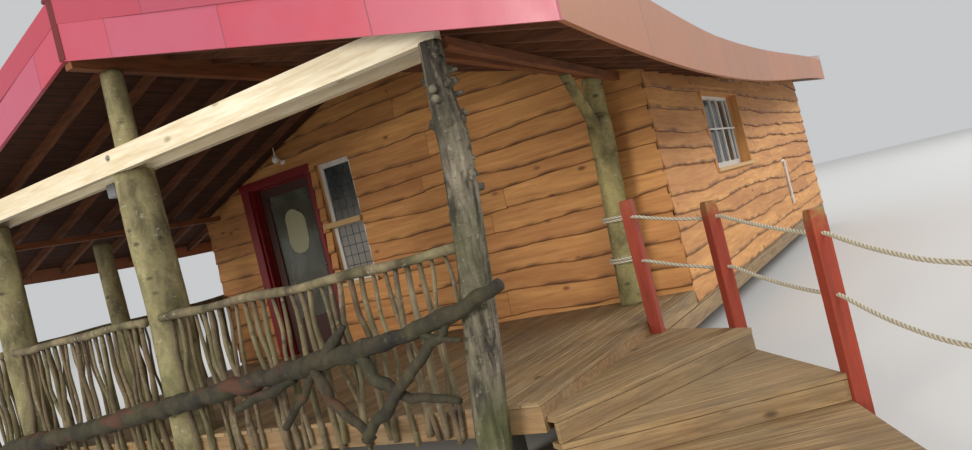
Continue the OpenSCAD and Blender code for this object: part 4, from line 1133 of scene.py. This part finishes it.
def add_rope_posts():
    """Four posts. Each has its place, its height, its turn and how worn it is."""
    bm = new_shape()
    edge_layer = layers_of(bm)[2]
    posts = [(3.0363, 1.87, 1.48, 0, 0.2), (3.6625, 1.7275, 1.345, -46, 1.0),
        (4.4336, 0.8648, 1.215, -51.1, 1.0), (5.17, -0.2, 1.09, -55, 0.8)]
    for x, y, tall, turn, wear in posts:
        made = bmesh.ops.create_cube(bm, size=1, matrix=Matrix.Diagonal((POST_WIDTH, POST_WIDTH, tall, 1)))
        edges = list({e for v in made["verts"] for e in v.link_edges})
        eased = bmesh.ops.bevel(bm, geom=edges, offset=0.007, offset_type="OFFSET", segments=2,
            profile=0.5, affect="EDGES", material=-1)
        faces = {f for v in eased["verts"] for f in v.link_faces}
        uprights = [e for e in {e for f in faces for e in f.edges} if e.calc_length() > tall * 0.6]
        bmesh.ops.subdivide_edges(bm, edges=uprights, cuts=24, use_grid_fill=True)
        placed = moved(x, y, tall / 2) @ turned(turn)
        # The new post still stands on the origin. The finished ones have moved away.
        for vert in [v for v in bm.verts if abs(v.co.x) < POST_WIDTH and abs(v.co.y) < POST_WIDTH]:
            share = vert.co.z / tall + 0.5
            rough = noise.noise(Vector((vert.co.x * 30, vert.co.y * 30, vert.co.z * 9 + x * 7)))
            crown = max(0, vert.co.z - tall / 2 + CROWN) / CROWN
            shrink = 1 - 0.02 * abs(rough) - 0.2 * wear * crown ** 3
            vert.co.x *= shrink
            vert.co.y *= shrink
            vert.co.z -= 0.006 * wear * crown * abs(rough)
            vert[edge_layer] = min(1, max(0, (share - 0.9) * 9)) * wear
            vert.co = placed @ vert.co
    keep_piece(bm, "rope_post_timber", "rope_post_timber", replaced=["rope_posts"], smooth=False)


add_rope_posts()


# Trims: sheets and seams of the roof, casings, leads, bars and small fixings

def add_cover_strip():
    """The dark red strip over the joint of the barge boards, and the caps on the ridge's ends."""
    bm = new_shape()
    strip_middle, ridge_top = 3.637, 3.87
    add_bar(bm, (0.075, 0.006, 0.452), moved(0, ROOF_START - 0.0325, strip_middle), 0.3)
    for y in (ROOF_START - 0.002, ROOF_END + 0.002):
        add_bar(bm, (0.16, 0.07, 0.03), moved(0, y, ridge_top), 0.2)
    keep_piece(bm, "apex_strip", "cover_red", smooth=False)


def add_barge_flashing():
    """The upper sheet of each front barge board, which laps over the lower one."""
    bm = new_shape()
    thick, wide, rise = 0.003, 0.176, 0.362
    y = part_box("right_barge_board")[0][1] - thick / 2
    reach = eave_reach(ROOF_START)
    for side in (1, -1):
        inner = Vector((0, y, roof_low(0, ROOF_START)))
        outer = Vector((side * reach, y, roof_low(side * reach, ROOF_START)))
        slope = math.degrees(math.atan2(inner.z - outer.z, reach))
        middle = (inner + outer) / 2 + Z * rise
        sheet = add_bar(bm, (reach * 1.2, thick, wide), moved(*middle) @ turned(side * slope, "Y"),
            bevel=0.001)
        left, right = sorted((0, side * (reach - 0.003)))
        clip_to(bm, sheet, [(left, y - 1), (right, y - 1), (right, y + 1), (left, y + 1)])
    keep_piece(bm, "barge_flashing", "deep_red_sheet", smooth=False)


def add_roof_seams():
    """Upright seams down both sides of the roof."""
    bm = new_shape()
    bays = 29
    cap_half, short_of_eave = 0.165, 0.03
    for k in range(1, bays):
        y = ROOF_START + k * (ROOF_END - ROOF_START) / bays
        for side in (1, -1):
            near, far = side * cap_half, side * (eave_reach(y) - short_of_eave)
            top = Vector((near, y, roof_low(near, y) + SHEET_RISE))
            low = Vector((far, y, roof_low(far, y) + SHEET_RISE))
            slope = math.degrees(math.atan2(top.z - low.z, abs(low.x - top.x)))
            middle = (top + low) / 2
            add_bar(bm, ((low - top).length, 0.016, 0.024), moved(*middle) @ turned(side * slope, "Y"),
                bevel=0.002)
    keep_piece(bm, "roof_seams", "roof_sheet", smooth=False)


def add_door_casing():
    bm = new_shape()
    tall = DOOR_TOP + 0.05 - DECK
    for x, wide in ((DOOR_LEFT - 0.055, 0.126), (DOOR_RIGHT + 0.022, 0.05)):
        add_bar(bm, (wide, 0.036, tall), moved(x, FRONT - 0.018, DECK + tall / 2), 0.2, 0.004, 2)
    head = moved((DOOR_LEFT + DOOR_RIGHT) / 2 - 0.035, FRONT - 0.021, DOOR_TOP + 0.02)
    add_bar(bm, (DOOR_RIGHT - DOOR_LEFT + 0.19, 0.042, 0.085), head, 0.4, 0.004)
    keep_piece(bm, "door_casing", "red_timber", smooth=False)


def add_frosted_panel():
    """The pale panel in the door's glass: an arch with three lobes on top and a drawn-in foot."""
    bm = new_shape()
    glass_low, glass_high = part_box("door_glass")
    middle = (glass_low[0] + glass_high[0]) / 2
    y = glass_low[1] - 0.0035
    arch_points, arch_wide, arch_tall, arch_foot = 49, 0.15, 0.155, 2.13
    outline = []
    for k in range(arch_points):
        turn = math.pi * k / (arch_points - 1)
        lobed = 1 + 0.16 * abs(math.cos(turn * 1.5))
        outline.append((arch_wide * math.cos(turn) * lobed, arch_foot + arch_tall * math.sin(turn) * lobed))
    foot = [(0.165, 1.9), (0.12, 1.8), (0.05, 1.762)]
    outline += [(-x, z) for x, z in foot] + foot[::-1]
    made = bmesh.ops.create_circle(bm, cap_ends=True, segments=len(outline), radius=1)
    for vert, (x, z) in zip(made["verts"], outline):
        vert.co = (middle + x, y, z)
    grown = bmesh.ops.extrude_face_region(bm, geom=bm.faces[:])["geom"]
    bmesh.ops.translate(bm, verts=[g for g in grown if isinstance(g, bmesh.types.BMVert)],
        vec=(0, 0.002, 0))
    keep_piece(bm, "frosted_panel", "frosted_glass", "door", smooth=False)


def add_window_leads():
    """The leads in the two lights of the front window."""
    bm = new_shape()
    y = FRONT + 0.0575
    left, right = PANE_LEFT + FRAME_WIDTH, PANE_RIGHT - FRAME_WIDTH
    columns, rows = 4, 5
    for low, high in ((PANE_SILL + FRAME_WIDTH, PANE_SILL + 0.64), (PANE_SILL + 0.71, PANE_SILL + 1.34)):
        for k in range(1, columns):
            x = left + (right - left) * k / columns
            add_bar(bm, (0.008, 0.012, high - low), moved(x, y, (low + high) / 2), 0, 0.002, 2)
        for k in range(1, rows):
            z = low + (high - low) * k / rows
            add_bar(bm, (right - left, 0.012, 0.008), moved((left + right) / 2, y, z), 0, 0.002)
    keep_piece(bm, "window_leads", "lead", smooth=False)


def add_window_bars():
    """Four upright bars and a level one in each wide window."""
    bm = new_shape()
    tall, wide = SIDE_WINDOW_TALL - 2 * FRAME_WIDTH, SIDE_WINDOW_WIDE - 2 * FRAME_WIDTH
    setback = 0.095 - 0.0225
    bays = 5
    for x, y, turn in ((HALF - setback, SIDE_WINDOW_Y, 90), (-HALF + setback, SIDE_WINDOW_Y, 90),
            (0, REAR - setback, 0)):
        spot = moved(x, y, SIDE_WINDOW_Z) @ turned(turn)
        for k in range(1, bays):
            upright = spot @ moved(-wide / 2 + wide * k / bays, 0, 0)
            add_bar(bm, (0.022, 0.026, tall), upright, 0, 0.003, 2)
        add_bar(bm, (wide, 0.022, 0.022), spot @ moved(0, 0, 0.02))
    keep_piece(bm, "window_bars", "white_frame", smooth=False)


def add_window_casings():
    """Boards that line the wide windows' openings and stand round them."""
    bm = new_shape()
    thin, deep, setback = 0.016, 0.125, 0.0305
    across, up = SIDE_WINDOW_WIDE / 2, SIDE_WINDOW_TALL / 2
    inside, outside = 0.009, 0.03
    for x, y, turn in ((HALF, SIDE_WINDOW_Y, 90), (-HALF, SIDE_WINDOW_Y, -90), (0, REAR, 180)):
        spot = moved(x, y, SIDE_WINDOW_Z) @ turned(turn)
        for side in (-1, 1):
            lining = spot @ moved(side * (across - inside), setback, 0)
            add_bar(bm, (thin, deep, SIDE_WINDOW_TALL), lining, 0.4, 0.002, 2)
        add_bar(bm, (1.72, deep, thin), spot @ moved(0, setback, up - inside), 0.5, 0.002)
        add_bar(bm, (1.86, 0.03, 0.07), spot @ moved(0, -0.017, up + outside), 0.3)
        for side in (-1, 1):
            casing = spot @ moved(side * (across + outside), -0.016, -0.02)
            add_bar(bm, (0.06, 0.028, 0.93), casing, 0.5, 0.003, 2)
    keep_piece(bm, "window_casings", "wall_boards", smooth=False)


def add_tie_beam_bolt():
    """A bolt's head on its washer, in the face of the front tie beam."""
    bm = new_shape()
    spot = moved(-0.05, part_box("front_tie_beam")[0][1] - 0.002, 2.7) @ turned(90, "X")
    washer, head = 0.024, 0.0125
    bmesh.ops.create_cone(bm, cap_ends=True, segments=28, radius1=washer, radius2=washer, depth=0.004,
        matrix=spot)
    bmesh.ops.create_cone(bm, cap_ends=True, segments=6, radius1=head, radius2=head, depth=0.012,
        matrix=moved(0, -0.006, 0) @ spot)
    keep_piece(bm, "tie_beam_bolt", "brushed_metal", smooth=False)


def add_junction_box():
    bm = new_shape()
    add_bar(bm, (0.11, 0.07, 0.11), moved(-0.43, 0.16, 2.522), 0, 0.006)
    keep_piece(bm, "junction_box", "box_plastic", smooth=False)


def add_lamp_rod():
    """The short rod from the porch lamp's globe up to the ceiling."""
    bm = new_shape()
    low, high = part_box("porch_lamp")
    x, y, top = (low[0] + high[0]) / 2, low[1] + 0.045, high[2]
    rings = [(x, y, top - 0.004, 0.011), (x, y, top + 0.008, 0.008), (x, y, top + 0.1, 0.007)]
    add_stem(bm, rings, 12, 0.01)
    keep_piece(bm, "lamp_rod", "lamp_glass")


def add_overflow_elbow():
    """The bend on top of the overflow pipe, which leads into the wall."""
    bm = new_shape()
    low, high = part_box("overflow_pipe")
    x, y, top = (low[0] + high[0]) / 2, (low[1] + high[1]) / 2, high[2]
    arm, collar = PIPE_RADIUS + 0.0005, PIPE_RADIUS + 0.0015
    rings = [(x - 0.03, y - 0.085, top + 0.03, arm), (x, y - 0.05, top + 0.034, arm),
        (x + 0.004, y - 0.015, top + 0.02, collar), (x, y, top - 0.03, collar)]
    add_stem(bm, rings, 20, 0.01)
    keep_piece(bm, "overflow_elbow", "pipe_plastic")


add_cover_strip()
add_barge_flashing()
add_roof_seams()
add_door_casing()
add_frosted_panel()
add_window_leads()
add_window_bars()
add_window_casings()
add_tie_beam_bolt()
add_junction_box()
add_lamp_rod()
add_overflow_elbow()


# Floor and light

def add_floor():
    bm = bmesh.new()
    bmesh.ops.create_grid(bm, x_segments=1, y_segments=1, size=60)
    mesh = bpy.data.meshes.new("floor")
    bm.to_mesh(mesh)
    bm.free()
    Finish("floor", roughness=0.9, base_color=(*colour(214, 213, 210), 1))
    mesh.materials.append(finishes["floor"])
    floor = bpy.data.objects.new("floor", mesh)
    bpy.context.scene.collection.objects.link(floor)


def add_lamp(name, place, target, size, power, shade=(1, 1, 1)):
    """A round soft lamp that faces its target."""
    data = bpy.data.lights.new(name, "AREA")
    data.shape = "DISK"
    data.size = size
    data.energy = power
    data.color = shade
    lamp = bpy.data.objects.new(name, data)
    lamp.location = place
    lamp.rotation_euler = (Vector(target) - Vector(place)).to_track_quat("-Z", "Y").to_euler()
    bpy.context.scene.collection.objects.link(lamp)


def add_light():
    """A pale grey studio with three large lamps, set far out to soften their pools on the floor."""
    world = bpy.data.worlds.new("studio")
    world.use_nodes = True
    bpy.context.scene.world = world
    background = world.node_tree.nodes["Background"]
    background.inputs["Color"].default_value = (*colour(226, 228, 230), 1)
    background.inputs["Strength"].default_value = 0.75
    add_lamp("key", (-11, -44, 12.1), (1, 2, 1.5), 16, 11500, (1.0, 0.95, 0.87))
    add_lamp("fill", (31, -25, 23), (1, 3, 1), 18, 7600)
    add_lamp("back", (29, 33, 25), (1, 7, 1), 18, 8700)


add_floor()
add_light()
bpy.context.scene.view_settings.view_transform = "Standard"
